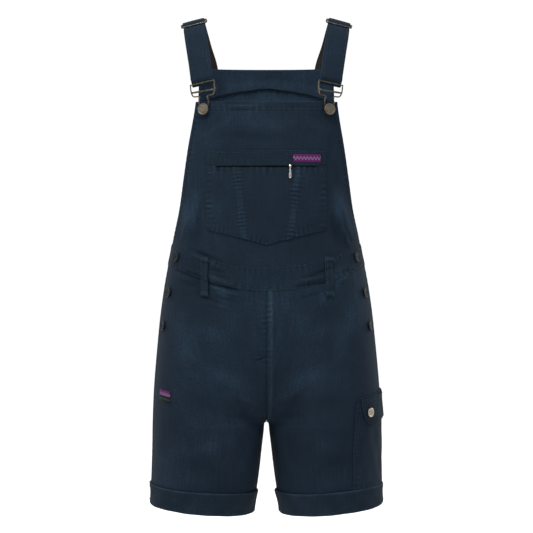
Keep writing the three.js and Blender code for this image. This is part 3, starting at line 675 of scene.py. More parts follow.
def set_marks(thing: Piece, grain: Array, tone: Array) -> None:
    """Stores the cloth's grain in millimetres and its tone on a mesh: worn places with painted light and
    shade.

    Args:
        thing: the piece.
        grain: two values a vertex, across and along the thread.
        tone: one value a vertex, above zero where worn and on painted highlights, below zero in painted shade
            of hollows.
    """
    places = thing.data.attributes.new("grain", "FLOAT_VECTOR", "POINT")
    padded = np.concatenate([grain, np.zeros((len(grain), 1))], 1)
    places.data.foreach_set("vector", padded.astype(np.float32).ravel())
    tones = thing.data.attributes.new("tone", "FLOAT", "POINT")
    tones.data.foreach_set("value", tone.astype(np.float32))


def shell(name: str, outer: Array, inner: Array, tone: Array | None = None, wrap: bool = False) -> Piece:
    """A closed wall of cloth between two grids, with a rounded rim.

    Args:
        name: the piece's name.
        outer: rows and columns of points of the outer face.
        inner: the same of the inner face.
        tone: worn places of the outer face, with painted highlights on its ridges and painted shade in its
            hollows.
        wrap: joins the last column to the first.

    Returns:
        The new object, with its grain stored.
    """
    rows, columns = outer.shape[:2]
    ids = np.arange(rows * columns).reshape(rows, columns)
    if wrap:
        left, right = ids, np.roll(ids, -1, axis=1)
        loops = [ids[0], ids[-1][::-1]]
    else:
        left, right = ids[:, :-1], ids[:, 1:]
        loops = [np.concatenate([ids[0], ids[1:, -1], ids[-1, -2::-1], ids[-2:0:-1, 0]])]
    quads = np.stack([left[:-1], left[1:], right[1:], right[:-1]], -1).reshape(-1, 4)
    layer = rows * columns
    flat_outer, flat_inner = outer.reshape(-1, 3), inner.reshape(-1, 3)
    vertices, faces = [flat_outer, flat_inner], [quads, quads[:, ::-1] + layer]
    across = np.linalg.norm(np.diff(outer, axis=1), axis=-1)
    down = np.linalg.norm(np.diff(outer, axis=0), axis=-1)
    u = np.concatenate([np.zeros((rows, 1)), np.cumsum(across, axis=1)], 1)
    v = np.concatenate([np.zeros((1, columns)), np.cumsum(down, axis=0)], 0)
    u = u - u[:, columns // 2 : columns // 2 + 1]
    grain = np.stack([u, v], -1).reshape(-1, 2)
    tones = np.zeros(layer) if tone is None else tone.reshape(-1)
    # The inner face and the rims get a paler tone: partly the cloth's real paler wrong side, partly painted
    # light on the shaded inside and the edges
    grains, marks = [grain, grain], [tones, np.full(layer, WRONG_SIDE_PALE_AND_PAINTED_LIGHT)]
    start = 2 * layer
    for loop in loops:
        r, c = loop // columns, loop % columns
        nr = np.clip(r, 1, rows - 2)
        nc = c if wrap else np.clip(c, 1, columns - 2)
        near = (outer[nr, nc] + inner[nr, nc]) / 2
        middle = (flat_outer[loop] + flat_inner[loop]) / 2
        thick = np.linalg.norm(flat_outer[loop] - flat_inner[loop], axis=-1, keepdims=True)
        vertices.append(middle + unit(middle - near) * thick * 0.42)
        grains.append(grain[loop])
        marks.append(np.full(len(loop), WRONG_SIDE_PALE_AND_PAINTED_LIGHT))
        rim = np.arange(len(loop)) + start
        start += len(loop)
        following, rim_next = np.roll(loop, -1), np.roll(rim, -1)
        faces.append(np.stack([loop, following, rim_next, rim], -1))
        faces.append(np.stack([rim, rim_next, following + layer, loop + layer], -1))
    points, corners = np.concatenate(vertices), np.concatenate(faces)
    thing = link(name, points, faced_out(points, corners))
    set_marks(thing, np.concatenate(grains), np.concatenate(marks))
    return thing


def tube_parts(rings: Array, closed: bool = False) -> tuple[Array, list[list[int]]]:
    """Vertices and faces of a bar through rings.

    Args:
        rings: rings, points in each, and coordinates.
        closed: joins the last ring to the first.

    Returns:
        Vertices and outward faces.
    """
    count, size = rings.shape[:2]
    ids = np.arange(count * size).reshape(count, size)
    here, onward = (ids, np.roll(ids, -1, axis=0)) if closed else (ids[:-1], ids[1:])
    quads = np.stack([here, np.roll(here, -1, 1), np.roll(onward, -1, 1), onward], -1).reshape(-1, 4)
    vertices = rings.reshape(-1, 3)
    turned = faced_out(vertices, quads)
    faces = turned.tolist()
    if not closed:
        flipped = turned[0][0] != quads[0][0]
        ends = (ids[0], ids[-1][::-1]) if flipped else (ids[0][::-1], ids[-1])
        faces += [end.tolist() for end in ends]
    return vertices, faces


def round_rings(route: Array, radius: Array, sides: int, up: Array, closed: bool = False) -> Array:
    """Rings of a round wire along a route.

    Args:
        route: points along the middle.
        radius: its radius, or one for each point.
        sides: corners of a ring.
        up: a direction, or one for each point, that is never along the wire.
        closed: whether the route closes on itself.

    Returns:
        The rings.
    """
    if closed:
        along = unit(np.roll(route, -1, 0) - np.roll(route, 1, 0))
    else:
        along = unit(np.gradient(route, axis=0))
    flat = unit(np.cross(along, np.broadcast_to(up, route.shape)))
    rise = np.cross(flat, along)
    turn = 2 * math.pi * (np.arange(sides) + 0.5) / sides
    size = np.broadcast_to(np.asarray(radius, float), (len(route),))[:, None, None]
    circle = np.cos(turn)[None, :, None] * flat[:, None] + np.sin(turn)[None, :, None] * rise[:, None]
    return route[:, None] + size * circle


def smooth_route(points: Array, per_span: int, closed: bool = False) -> Array:
    """A rounder line through points.

    Args:
        points: the points that it passes.
        per_span: places made for each span.
        closed: whether it closes on itself.

    Returns:
        Points of the finer line.
    """
    if closed:
        padded = np.concatenate([points[-1:], points, points[:2]])
    else:
        padded = np.concatenate([2 * points[:1] - points[1:2], points, 2 * points[-1:] - points[-2:-1]])
    t = np.linspace(0, 1, per_span, endpoint=False)[:, None]
    found = []
    for a, b, c, d in zip(padded, padded[1:], padded[2:], padded[3:]):
        square, cube = 2 * a - 5 * b + 4 * c - d, 3 * b - a - 3 * c + d
        found.append(0.5 * (2 * b + (c - a) * t + square * t**2 + cube * t**3))
    if not closed:
        found.append(points[-1:])
    return np.concatenate(found)


@dataclass
class Stitching:
    """Rows of lockstitch as real threads, gathered into one mesh for each part of the garment."""

    length: float = 2.7
    gap: float = 0.7
    radius: float = 0.3
    vertices: list[Array] = field(default_factory=list)
    faces: list[Array] = field(default_factory=list)
    count: int = 0

    def row(self, points: Array, normals: Array, tight: float = 1.0) -> None:
        """Sews along points that lie on the cloth.

        Args:
            points: close places along the row.
            normals: outward directions there.
            tight: below 1 for the short stitches of a bar tack.
        """
        run = np.concatenate([[0], np.cumsum(np.linalg.norm(np.diff(points, axis=0), axis=-1))])
        length, gap = self.length * tight, self.gap * tight
        number = int(run[-1] // (length + gap))
        if number < 1:
            return
        slack = run[-1] - number * (length + gap) + gap
        starts = slack / 2 + np.arange(number) * (length + gap)
        share = np.array([0, 0.28, 0.72, 1.0])
        at = starts[:, None] + share * length
        middle = np.stack([np.interp(at, run, points[:, k]) for k in range(3)], -1)
        out = unit(np.stack([np.interp(at, run, normals[:, k]) for k in range(3)], -1))
        along = unit(middle[:, -1:] - middle[:, :1])
        sideways = np.cross(out, along)
        height = self.radius * np.array([-0.9, 0.45, 0.45, -0.9])
        size = self.radius * np.array([0.6, 1.0, 1.0, 0.6])
        centre = middle + out * height[None, :, None]
        turn = 2 * math.pi * np.arange(5) / 5
        ring = np.cos(turn)[:, None] * sideways[:, :, None] + np.sin(turn)[:, None] * out[:, :, None]
        made = centre[:, :, None] + size[None, :, None, None] * ring
        ids = np.arange(20).reshape(4, 5)
        one = np.stack([ids[:-1], np.roll(ids[:-1], -1, 1), np.roll(ids[1:], -1, 1), ids[1:]], -1)
        one = one.reshape(-1, 4)
        tips = np.array([[0, 4, 3, 2], [2, 1, 0, 0], [15, 16, 17, 18], [18, 19, 15, 15]])
        local = np.concatenate([one[:, ::-1], tips[::2], tips[1::2]])
        shift = self.count + 20 * np.arange(number)
        self.vertices.append(made.reshape(-1, 3))
        self.faces.append((local[None] + shift[:, None, None]).reshape(-1, 4))
        self.count += 20 * number

    def line(self, line: ClothLine, lift: float, offset: float = 0.0, own: float = 0.0) -> None:
        """Sews along a line of the garment.

        Args:
            line: the line on the cloth.
            lift: height of the cloth's face there over the garment's face.
            offset: distance sideways from the line.
            own: height of a seam under the row.
        """
        placed = line.shifted(offset) if offset else line
        points, normals = FORM.cloth(placed.angle, placed.level, placed.side, lift + own)
        self.row(points, normals)

    def finished(self, name: str, finish: "Finish", body: str = BODY, slot: Slot = Slot.TWILL) -> Piece:
        """Makes the piece.

        Args:
            name: its name.
            finish: the thread's finish.
            body: the body that it rides on.
            slot: not used.

        Returns:
            The new object.
        """
        vertices = np.concatenate(self.vertices)
        corners = np.concatenate(self.faces)
        faces = [face[:3] if face[2] == face[3] else face for face in corners.tolist()]
        return dress(link(name, vertices, faces), finish, body=body)


def srgb(code: str) -> tuple[float, float, float, float]:
    """Turns an sRGB hex colour to linear.

    Args:
        code: a hash and six hex digits.

    Returns:
        Red, green and blue, with an alpha of 1.
    """
    parts = [int(code[k : k + 2], 16) / 255 for k in (1, 3, 5)]
    linear = (part / 12.92 if part <= 0.04045 else ((part + 0.055) / 1.055) ** 2.4 for part in parts)
    return (*linear, 1.0)


def add_node(
    tree: Tree, kind: str, *values: object, out: int | str = 0, named: dict | None = None, **settings: object
) -> Socket:
    """Adds a node with its settings, its input values and its links.

    Args:
        tree: the material's tree.
        kind: the node's type, without the words that all of them start with.
        values: a value or another node's socket for each input in turn.
        out: the wanted output's name or number.
        named: values and sockets for inputs given by name.
        settings: the node's own properties.

    Returns:
        The wanted output.
    """
    node = tree.nodes.new(f"ShaderNode{kind}")
    for name, value in settings.items():
        setattr(node, name, value)
    for socket, value in [*enumerate(values), *(named or {}).items()]:
        if isinstance(value, Socket):
            tree.links.new(value, node.inputs[socket])
        else:
            node.inputs[socket].default_value = value
    return node.outputs[out]


@dataclass(frozen=True)
class Finish:
    """A surface: its material's name, and how its nodes are made."""

    name: str

    def material(self) -> bpy.types.Material:
        """Makes the finish's material, once.

        Returns:
            The material.
        """
        found = bpy.data.materials.get(self.name)
        if found is None:
            found = bpy.data.materials.new(self.name)
            found.use_nodes = True
            tree = found.node_tree
            tree.nodes.clear()
            output = tree.nodes.new("ShaderNodeOutputMaterial")
            tree.links.new(self.nodes(partial(add_node, tree)), output.inputs["Surface"])
        return found

    def nodes(self, add: Callable[..., Socket]) -> Socket:
        """Makes the shader's nodes.

        Args:
            add: adds a node to the material's tree.

        Returns:
            The shader's output.
        """
        raise NotImplementedError


@dataclass(frozen=True)
class CottonTwill(Finish):
    """Piece dyed cotton twill: steep diagonal ribs, a soft matt face and a slight bloom at grazing angles."""

    deep: str = "#050B11"
    pale: str = "#0E1720"
    # The palest stop: for worn places and for painted highlights on fold ridges, seams and rims
    rubbed_and_lit: str = "#1D2B37"
    # The real ribs are 0.7 mm apart. They are drawn at 2.3 mm, so that a trace of them shows in the render.
    rib: float = 2.3
    # Dye clouds of about 38 mm, and how far a streak of the warp is drawn out along the thread
    mottle: float = 38.0
    drawn: float = 0.035

    def nodes(self, add: Callable[..., Socket]) -> Socket:
        """Makes the twill: ribs, yarn, slubs, clouds and warp streaks, paler where worn and on painted
        highlights, darker in painted shade.

        Args:
            add: adds a node to the material's tree.

        Returns:
            The shader's output.
        """
        grain = add("Attribute", attribute_name="grain", out="Vector")
        tone = add("Attribute", attribute_name="tone", out="Fac")
        across, along = add("SeparateXYZ", grain).node.outputs[:2]
        slub = add("TexNoise", named={"Vector": grain, "Scale": 0.3, "Detail": 3.0})
        yarn = add("TexNoise", named={"Vector": grain, "Scale": 0.9, "Detail": 3.0, "Roughness": 0.7})
        cloud = add("TexNoise", named={"Vector": grain, "Scale": 1 / self.mottle, "Detail": 3.0})
        warp = add("CombineXYZ", across, add("Math", along, self.drawn, operation="MULTIPLY"))
        streak = add("TexNoise", named={"Vector": warp, "Scale": 0.55, "Detail": 3.0})
        wander = add("Math", slub, 3.0, operation="MULTIPLY")
        diagonal = add("Math", along, 0.7, across, operation="MULTIPLY_ADD")
        turn = add("Math", diagonal, 2 * math.pi / self.rib, wander, operation="MULTIPLY_ADD")
        rib = add("Math", turn, operation="SINE")
        shade = add("Math", rib, 0.1, -0.27, operation="MULTIPLY_ADD")
        # The tone attribute adds worn places with painted light and shade of folds, seams and the wrong side
        for pattern, weight in ((yarn, 0.6), (slub, 0.42), (cloud, 0.26), (streak, 0.36), (tone, 0.3)):
            shade = add("Math", pattern, weight, shade, operation="MULTIPLY_ADD")
        ramp = add("ValToRGB", shade)
        stops = ramp.node.color_ramp.elements
        stops.new(0.68)
        for stop, place, code in zip(stops, (0.2, 0.68, 0.95), (self.deep, self.pale, self.rubbed_and_lit)):
            stop.position, stop.color = place, srgb(code)
        height = add("Math", rib, 0.5, yarn, operation="MULTIPLY_ADD")
        inputs = {
            "Base Color": ramp,
            "Roughness": add("Math", yarn, 0.14, 0.8, operation="MULTIPLY_ADD"),
            "Normal": add("Bump", named={"Height": height, "Strength": 0.5, "Distance": 0.0004}),
            "IOR": 1.5,
            "Specular IOR Level": 0.035,
            "Sheen Weight": 0.004,
            "Sheen Roughness": 0.6,
            "Sheen Tint": srgb("#9FB2C8"),
        }
        return add("BsdfPrincipled", named=inputs)


@dataclass(frozen=True)
class Flecked(Finish):
    """One colour with fine flecks of a close shade, at one roughness."""

    dark: str
    light: str
    # Flecks in a metre
    flecks: float
    roughness: float
    specular: float = 0.5
    ior: float = 1.5

    def nodes(self, add: Callable[..., Socket]) -> Socket:
        """Makes the flecks and the shader.

        Args:
            add: adds a node to the material's tree.

        Returns:
            The shader's output.
        """
        place = add("TexCoord", out="Object")
        fleck = add("TexNoise", named={"Vector": place, "Scale": self.flecks, "Detail": 2.0})
        shades = {"Factor": fleck, "A": srgb(self.dark), "B": srgb(self.light)}
        inputs = {
            "Base Color": add("Mix", data_type="RGBA", out="Result", named=shades),
            "Roughness": self.roughness,
            "IOR": self.ior,
            "Specular IOR Level": self.specular,
        }
        return add("BsdfPrincipled", named=inputs)


@dataclass(frozen=True)
class RibbedWebbing(Finish):
    """Woven elastic webbing: dense lengthwise ribs, their tops painted paler as a satin highlight."""

    deep: str = "#050404"
    pale: str = "#171310"
    # The real ribs are 1 mm apart. They are drawn at 2.6 mm, so that they show in the render.
    rib: float = 2.6
    pick: float = 1.8

    def nodes(self, add: Callable[..., Socket]) -> Socket:
        """Makes the webbing: ribs along it, picks across it, uneven yarn and a painted highlight on the rib
        tops.

        Args:
            add: adds a node to the material's tree.

        Returns:
            The shader's output.
        """
        grain = add("Attribute", attribute_name="grain", out="Vector")
        waves = []
        for place, pitch in zip(add("SeparateXYZ", grain).node.outputs, (self.rib, self.pick)):
            turn = add("Math", place, 2 * math.pi / pitch, operation="MULTIPLY")
            waves.append(add("Math", turn, operation="SINE"))
        yarn = add("TexNoise", named={"Vector": grain, "Scale": 0.7, "Detail": 3.0})
        height = add("Math", waves[1], 0.25, operation="MULTIPLY")
        height = add("Math", waves[0], 0.8, height, operation="MULTIPLY_ADD")
        shade = add("Math", yarn, 0.8, operation="MULTIPLY")
        # Painted highlight: the rib tops are coloured paler, as satin catching the light
        shade = add("Math", height, 0.22, shade, operation="MULTIPLY_ADD")
        shades = {"Factor": shade, "A": srgb(self.deep), "B": srgb(self.pale)}
        inputs = {
            "Base Color": add("Mix", data_type="RGBA", out="Result", named=shades),
            "Roughness": 0.7,
            "Normal": add("Bump", named={"Height": height, "Strength": 0.8, "Distance": 0.0005}),
            "Specular IOR Level": 0.15,
        }
        return add("BsdfPrincipled", named=inputs)


@dataclass(frozen=True)
class PlatedMetal(Finish):
    """Plated brass or zinc: a soft gloss, darker where the plating keeps its patina."""

    bright: str
    dark: str
    roughness: float = 0.38
    # Patina clouds of about 4 mm, and tumbling marks of about 0.3 mm drawn at 0.8 mm so that they show
    cloud: float = 4.0
    marks: float = 0.8
    marks_depth: float = 0.00006

    def nodes(self, add: Callable[..., Socket]) -> Socket:
        """Makes the metal: patina clouds under fine marks.

        Args:
            add: adds a node to the material's tree.

        Returns:
            The shader's output.
        """
        place = add("TexCoord", out="Object")
        cloud = add("TexNoise", named={"Vector": place, "Scale": 1 / (self.cloud * MM), "Detail": 3.0})
        marks = add("TexNoise", named={"Vector": place, "Scale": 1 / (self.marks * MM), "Detail": 2.0})
        shade = add("MapRange", out="Result", named={"Value": cloud, "From Min": 0.3, "From Max": 0.7})
        shades = {"Factor": shade, "A": srgb(self.dark), "B": srgb(self.bright)}
        inputs = {
            "Base Color": add("Mix", data_type="RGBA", out="Result", named=shades),
            "Metallic": 1.0,
            "Roughness": add("Math", marks, 0.16, self.roughness - 0.08, operation="MULTIPLY_ADD"),
            "Normal": add("Bump", named={"Height": marks, "Strength": 0.35, "Distance": self.marks_depth}),
        }
        return add("BsdfPrincipled", named=inputs)


@dataclass(frozen=True)
class DamaskLabel(Finish):
    """Damask woven label: a close satin ground with a plain zigzag woven in a second yarn."""

    ground: str
    mark: str
    # The zigzag repeats along the label, in millimetres, in a band of the given height about its middle
    repeat: float = 5.6
    band: float = 5.0
    middle: float = 6.0
    # The real picks are 0.3 mm apart. They are drawn at 1.1 mm, so that they show in a close view.
    pick: float = 1.1

    def nodes(self, add: Callable[..., Socket]) -> Socket:
        """Makes the label: the zigzag, fading with the weave, over the picks of the ground.

        Args:
            add: adds a node to the material's tree.

        Returns:
            The shader's output.
        """
        grain = add("Attribute", attribute_name="grain", out="Vector")
        across, down = add("SeparateXYZ", grain).node.outputs[:2]
        saw = add("Math", across, self.repeat / 2, operation="PINGPONG")
        rise, foot = 2 * self.band / self.repeat, self.middle - self.band / 2
        slant = add("Math", saw, rise, foot, operation="MULTIPLY_ADD")
        away = add("Math", add("Math", down, slant, operation="SUBTRACT"), operation="ABSOLUTE")
        zigzag = add("MapRange", out="Result", named={"Value": away, "From Min": 1.15, "From Max": 0.6})
        weave = add("TexNoise", named={"Vector": grain, "Scale": 2.2, "Detail": 2.0})
        worn = add("Math", weave, 0.5, 0.6, operation="MULTIPLY_ADD")
        shown = add("Math", zigzag, worn, operation="MULTIPLY", use_clamp=True)
        turn = add("Math", down, 2 * math.pi / self.pick, operation="MULTIPLY")
        height = add("Math", add("Math", turn, operation="SINE"), 0.4, shown, operation="MULTIPLY_ADD")
        shades = {"Factor": shown, "A": srgb(self.ground), "B": srgb(self.mark)}
        inputs = {
            "Base Color": add("Mix", data_type="RGBA", out="Result", named=shades),
            "Roughness": 0.6,
            "Normal": add("Bump", named={"Height": height, "Strength": 0.4, "Distance": 0.0002}),
            "Specular IOR Level": 0.035,
        }
        return add("BsdfPrincipled", named=inputs)


# Navy twill, matt. Where it is doubled it is a shade darker, and its wrong side shows paler warp, with
# painted light in that tone too. The copy for the facing and the seam allowance is darker, as painted shade
# against the overhead light on the facing.
NAVY_TWILL = CottonTwill("navy_cotton_twill_woven")
BAND_TWILL = CottonTwill("navy_cotton_twill_doubled", deep="#050A10", pale="#0D161E")
INNER_TWILL_PAINTED_SHADE = CottonTwill("navy_cotton_twill_wrong_side_painted_shade", deep="#050A0F", pale="#0C141C", rubbed_and_lit="#17232E")
# Spun polyester thread: a little brighter and smoother than the cloth, so that the rows just show
NAVY_THREAD = Flecked("navy_polyester_topstitch_thread", "#0C151D", "#16242E", 900.0, 0.6, 0.12, 1.53)
DARK_WEBBING = RibbedWebbing("black_brown_elastic_webbing_woven")
# Aged bronze plating on brushed brass and on drawn wire: brown and half matt, brighter along the wire
ANTIQUE_BRONZE = PlatedMetal("antique_bronze_plated_brass_brushed", "#4A453C", "#3C3730", 0.55)
BRONZE_WIRE = PlatedMetal("antique_bronze_plated_wire_drawn", "#403D34", "#2A2821", 0.42)
# Tumbled gunmetal plating: almost black, with a wide soft highlight
GUNMETAL = PlatedMetal("gunmetal_plated_brass_tumbled", "#1C2123", "#0F1213", 0.72)
# Satin nickel plating: pale and warm, with a soft highlight
SATIN_NICKEL = PlatedMetal("satin_nickel_plated_brass", "#8F867C", "#6F675E", 0.36)
# Bright die cast zinc: almost white, smooth enough to mirror the lights
BRIGHT_ZINC = PlatedMetal("bright_zinc_alloy_die_cast", "#C9C7C2", "#85827D", 0.24, marks_depth=0.00001)
# Enamelled zinc: black with a dull gloss, chosen so that the slider sinks into the slot's shadow: painted
# shade on a real slider
BLACK_ENAMEL_PAINTED_SHADE = PlatedMetal("black_enamelled_zinc_painted_shade", "#14171A", "#0B0D0F", 0.45)
# Moulded nylon coil and its tape: almost black, darkened past the real zip as painted shade of the band's
# lap, a little glossy on the teeth
ZIP_COIL_PAINTED_SHADE = Flecked("nylon_zip_coil_moulded_painted_shade", "#020304", "#05070A", 1200.0, 0.5, 0.04)
PURPLE_LABEL = DamaskLabel("purple_damask_label_woven", "#360E33", "#565262")
GREEN_LABEL = DamaskLabel("dark_green_damask_label_woven", "#040B0A", "#1C2829", 3.6, 2.4, 5.0)
# Matt studio paint: almost white, with faint roller clouds
FLOOR_PAINT = Flecked("matt_studio_floor_painted", "#FCFCFC", "#FFFFFF", 1.5, 0.9)


def dress(thing: Piece, finish: Finish, nodes: Sequence[str] = (), body: str = BODY) -> Piece:
    """Gives a piece its material, its body and the nodes that it stands for.

    Args:
        thing: the piece.
        finish: its finish.
        nodes: names of the solids that it replaces.
        body: the body that it rides on.

    Returns:
        The same piece.
    """
    thing.data.materials.clear()
    thing.data.materials.append(finish.material())
    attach(thing, body)
    if nodes:
        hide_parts(*nodes)
    LOG.info("%s: %d faces", thing.name, len(thing.data.polygons))
    return thing


@dataclass
class ClothPanel:
    """A panel of cloth that follows the garment's form between two lifts."""

    name: str
    angle: Array
    level: Array
    side: Array
    inner: float = -CLOTH
    outer: float = 0.0
    seams: Sequence[Seam] = ()
    wrap: bool = False
    own: Array | float = 0.0
    apart: Callable[[Array], Array] | None = None
    follow: bool = True

    def make(self) -> Piece:
        """Builds the panel's closed wall with its seams raised in it.

        Returns:
            The panel as an object with its two layers and rim.
        """
        angle, level, side = np.broadcast_arrays(self.angle, self.level, np.asarray(self.side, float))
        signed = FORM.point(angle, level) * mirrored(side)
        raised = np.zeros(angle.shape) + self.own
        folds = FORM.relief(angle, signed[..., 0], signed[..., 1], signed[..., 2])
        # Painted light and shade: fold ridges are coloured paler and fold troughs darker
        tone = 0.2 * np.clip(folds, -2.5, 2.5)
        for seam in self.seams:
            height = seam.height(signed)
            raised = raised + height
            # Seams colour the tone too: raised strips and pucker crests paler, as wear with painted
            # highlight, grooves darker as painted shade
            tone = tone + np.clip(height, -0.5, 0.6) * 0.9
        outer, _ = FORM.cloth(angle, level, side, self.outer + raised)
        inner, _ = FORM.cloth(angle, level, side, self.inner + (raised if self.follow else 0))
        if self.apart:
            outer, inner = self.apart(outer), self.apart(inner)
        return shell(self.name, outer, inner, tone, self.wrap)


def clear_of_centre(side: float) -> Callable[[Array], Array]:
    """Keeps one half's panels on their own side of the centre.

    Args:
        side: 1 for the wearer's left and -1 for the right.

    Returns:
        A function that moves points back over the centre plane.
    """

    def moved(points: Array) -> Array:
        """Moves points back to their own side.

        Args:
            points: the panel's points.

        Returns:
            The points, none nearer the centre than half a seam's gap.
        """
        kept = points.copy()
        kept[..., 0] = np.maximum(points[..., 0] * side, SEAM_GAP / 2) * side
        return kept

    return moved


def side_name(side: float) -> str:
    """The wearer's side in words."""
    return "left" if side > 0 else "right"


def face_name(face: int) -> str:
    """The garment's face in words."""
    return "front" if face < 0 else "back"


# Rise of the front's lap over the back at the side, and the angles between which it comes up
LAP_RISE = 1.6
LAP_START = -0.12
LAP_FULL = -0.06
PLACKET_BOTTOM = -541.0


def lap_over(angle: Array) -> Array:
    """How far the front's edge stands out where it laps the back."""
    return LAP_RISE * smoothstep(angle, LAP_START, LAP_FULL)


def lap_edge(level: Array) -> Array:
    """Angle at which the front's lapped edge ends: further back on the placket than on the seam below it."""
    return mix(0.018, 0.072, smoothstep(level, PLACKET_BOTTOM - 5, PLACKET_BOTTOM))


@dataclass
class Legs:
    """Front and back leg panels with centre seams, side laps and inseams."""

    start: float = WAISTBAND_BOTTOM + 6
    end: float = HEM + 2

    def levels(self) -> Array:
        """Levels of the rows, from under the waistband to the hem's fold, closer at the creased waist.

        Returns:
            The heights of the grid's rows, closer together where the cloth is creased.
        """
        creased = 72.0
        turn = self.start - creased
        waist = mix(self.start, turn, graded(creased, 1.9, (6.0,)))
        spots = (60.0, 80.0, 85.0, 89.0, turn - CROTCH)
        return np.concatenate([waist[:-1], mix(turn, self.end, graded(turn - self.end, 3.4, spots))])

    def seams(self, side: float, face: int) -> list[Seam]:
        """Seams of one panel.

        Args:
            side: 1 for the wearer's left and -1 for the right.
            face: -1 for the front and 1 for the back.

        Returns:
            Its seams.
        """
        centre = ClothLine.down(face * QUARTER, -410, CROTCH + 4, side)
        inner = ClothLine.down(face * QUARTER, CROTCH + 2, HEM, side)
        found = [
            Seam(inner, half=4, rise=0.5, groove=0.2, pucker=0.5, pitch=9, reach=8, phase=side + face),
            Seam(centre, groove=0.4, pucker=0.45, pitch=8.5, reach=8, phase=2 * side),
        ]
        if side > 0:
            strip = ClothLine.down(face * (QUARTER - 0.028), -410, CROTCH + 12, side)
            found.append(Seam(strip, half=3.0, rise=0.7, groove=0.3))
        if face < 0:
            hem = ClothLine.down(0.0, PLACKET_BOTTOM - 4, HEM, side)
            found.append(Seam(hem, groove=0.0, pucker=0.5, pitch=10, reach=9, phase=side))
            opening = ClothLine.down(-0.1, -415, PLACKET_BOTTOM, side)
            found.append(Seam(opening, groove=0.25, pucker=0.35, pitch=12, reach=7))
        return found

    def build(self) -> list[Piece]:
        """Makes the four panels and their stitches.

        Returns:
            The finished pieces of this part.
        """
        levels = self.levels()[:, None]
        made = []
        for side in (1.0, -1.0):
            thread = Stitching()
            for face in (-1, 1):
                u = graded(235, 2.6, (8.0, 229.0))[None]
                angle = mix(lap_edge(levels) if face < 0 else -0.045, face * QUARTER, u)
                own = lap_over(angle) if face < 0 else -0.15 * (angle < 0)
                name = f"{face_name(face)}_leg_{side_name(side)}"
                seams = self.seams(side, face)
                panel = ClothPanel(f"{name}_cloth", angle, levels, side, seams=seams, own=own)
                panel.apart = clear_of_centre(side)
                thing = dress(panel.make(), NAVY_TWILL, (name,))
                made.append(thing)
                self.sew(thread, side, face)
            made.append(thread.finished(f"leg_{side_name(side)}_stitches", NAVY_THREAD))
        return [*made, self.allowance()]

    def allowance(self) -> Piece:
        """Makes the centre seam's allowances, folded to one side behind it from front to back.

        Returns:
            The cloth behind the centre seam.
        """
        down = np.linspace(WAISTBAND_BOTTOM - 8, CROTCH + 1.5, 110)
        level = np.concatenate([down, down[::-1]])
        angle = np.concatenate([np.full(110, -QUARTER), np.full(110, QUARTER)])
        seam, out = FORM.cloth(angle, level, 1.0, 0.0)
        across = np.array([-4.5, -2.5, -1.0, 0.0, 1.0, 2.5, 4.5])
        wide = np.stack([across, 0 * across, 0 * across], -1)[None]
        out = unit(out * (0.0, 1.0, 1.0))[:, None]
        outer = seam[:, None] * (0.0, 1.0, 1.0) + wide - out * (CLOTH + 0.35)
        return dress(shell("centre_seam_allowance", outer, outer - out * 1.2), INNER_TWILL_PAINTED_SHADE)

    def sew(self, thread: Stitching, side: float, face: int) -> None:
        """Adds the rows of one panel: side, placket, centre and inseam.

        Args:
            thread: the stitching that takes the rows.
            side: 1 for the wearer's left, -1 for the right.
            face: -1 for the front, 1 for the back.
        """
        if face < 0:
            thread.line(ClothLine.down(0.05, -420, PLACKET_BOTTOM + 2, side), 0, own=LAP_RISE)
            thread.line(ClothLine.down(-0.19, -420, -530, side), 0)
            turn = np.linspace(0, 1, 60)
            curve = ClothLine(mix(-0.19, 0.04, turn), -530 - 9 * np.sin(turn * QUARTER), np.full(60, side))
            thread.line(curve, 0, own=0.8)
            level = np.linspace(PLACKET_BOTTOM - 8, CUFF_TOP, 121)
            for shift, share in ((0.006, 1), (-0.048, 0.85)):
                low = ClothLine(np.linspace(shift, shift * 0.55, 121), level, np.full(121, side))
                thread.line(low, 0, own=LAP_RISE * share)
        if side > 0:
            for shift in (0.008, 0.045):
                thread.line(ClothLine.down(face * (QUARTER - shift), -424, CROTCH + 14, side), 0, own=0.7)
        thread.line(ClothLine.down(face * (QUARTER - 0.02), CROTCH - 6, CUFF_TOP, side), 0, own=0.45)


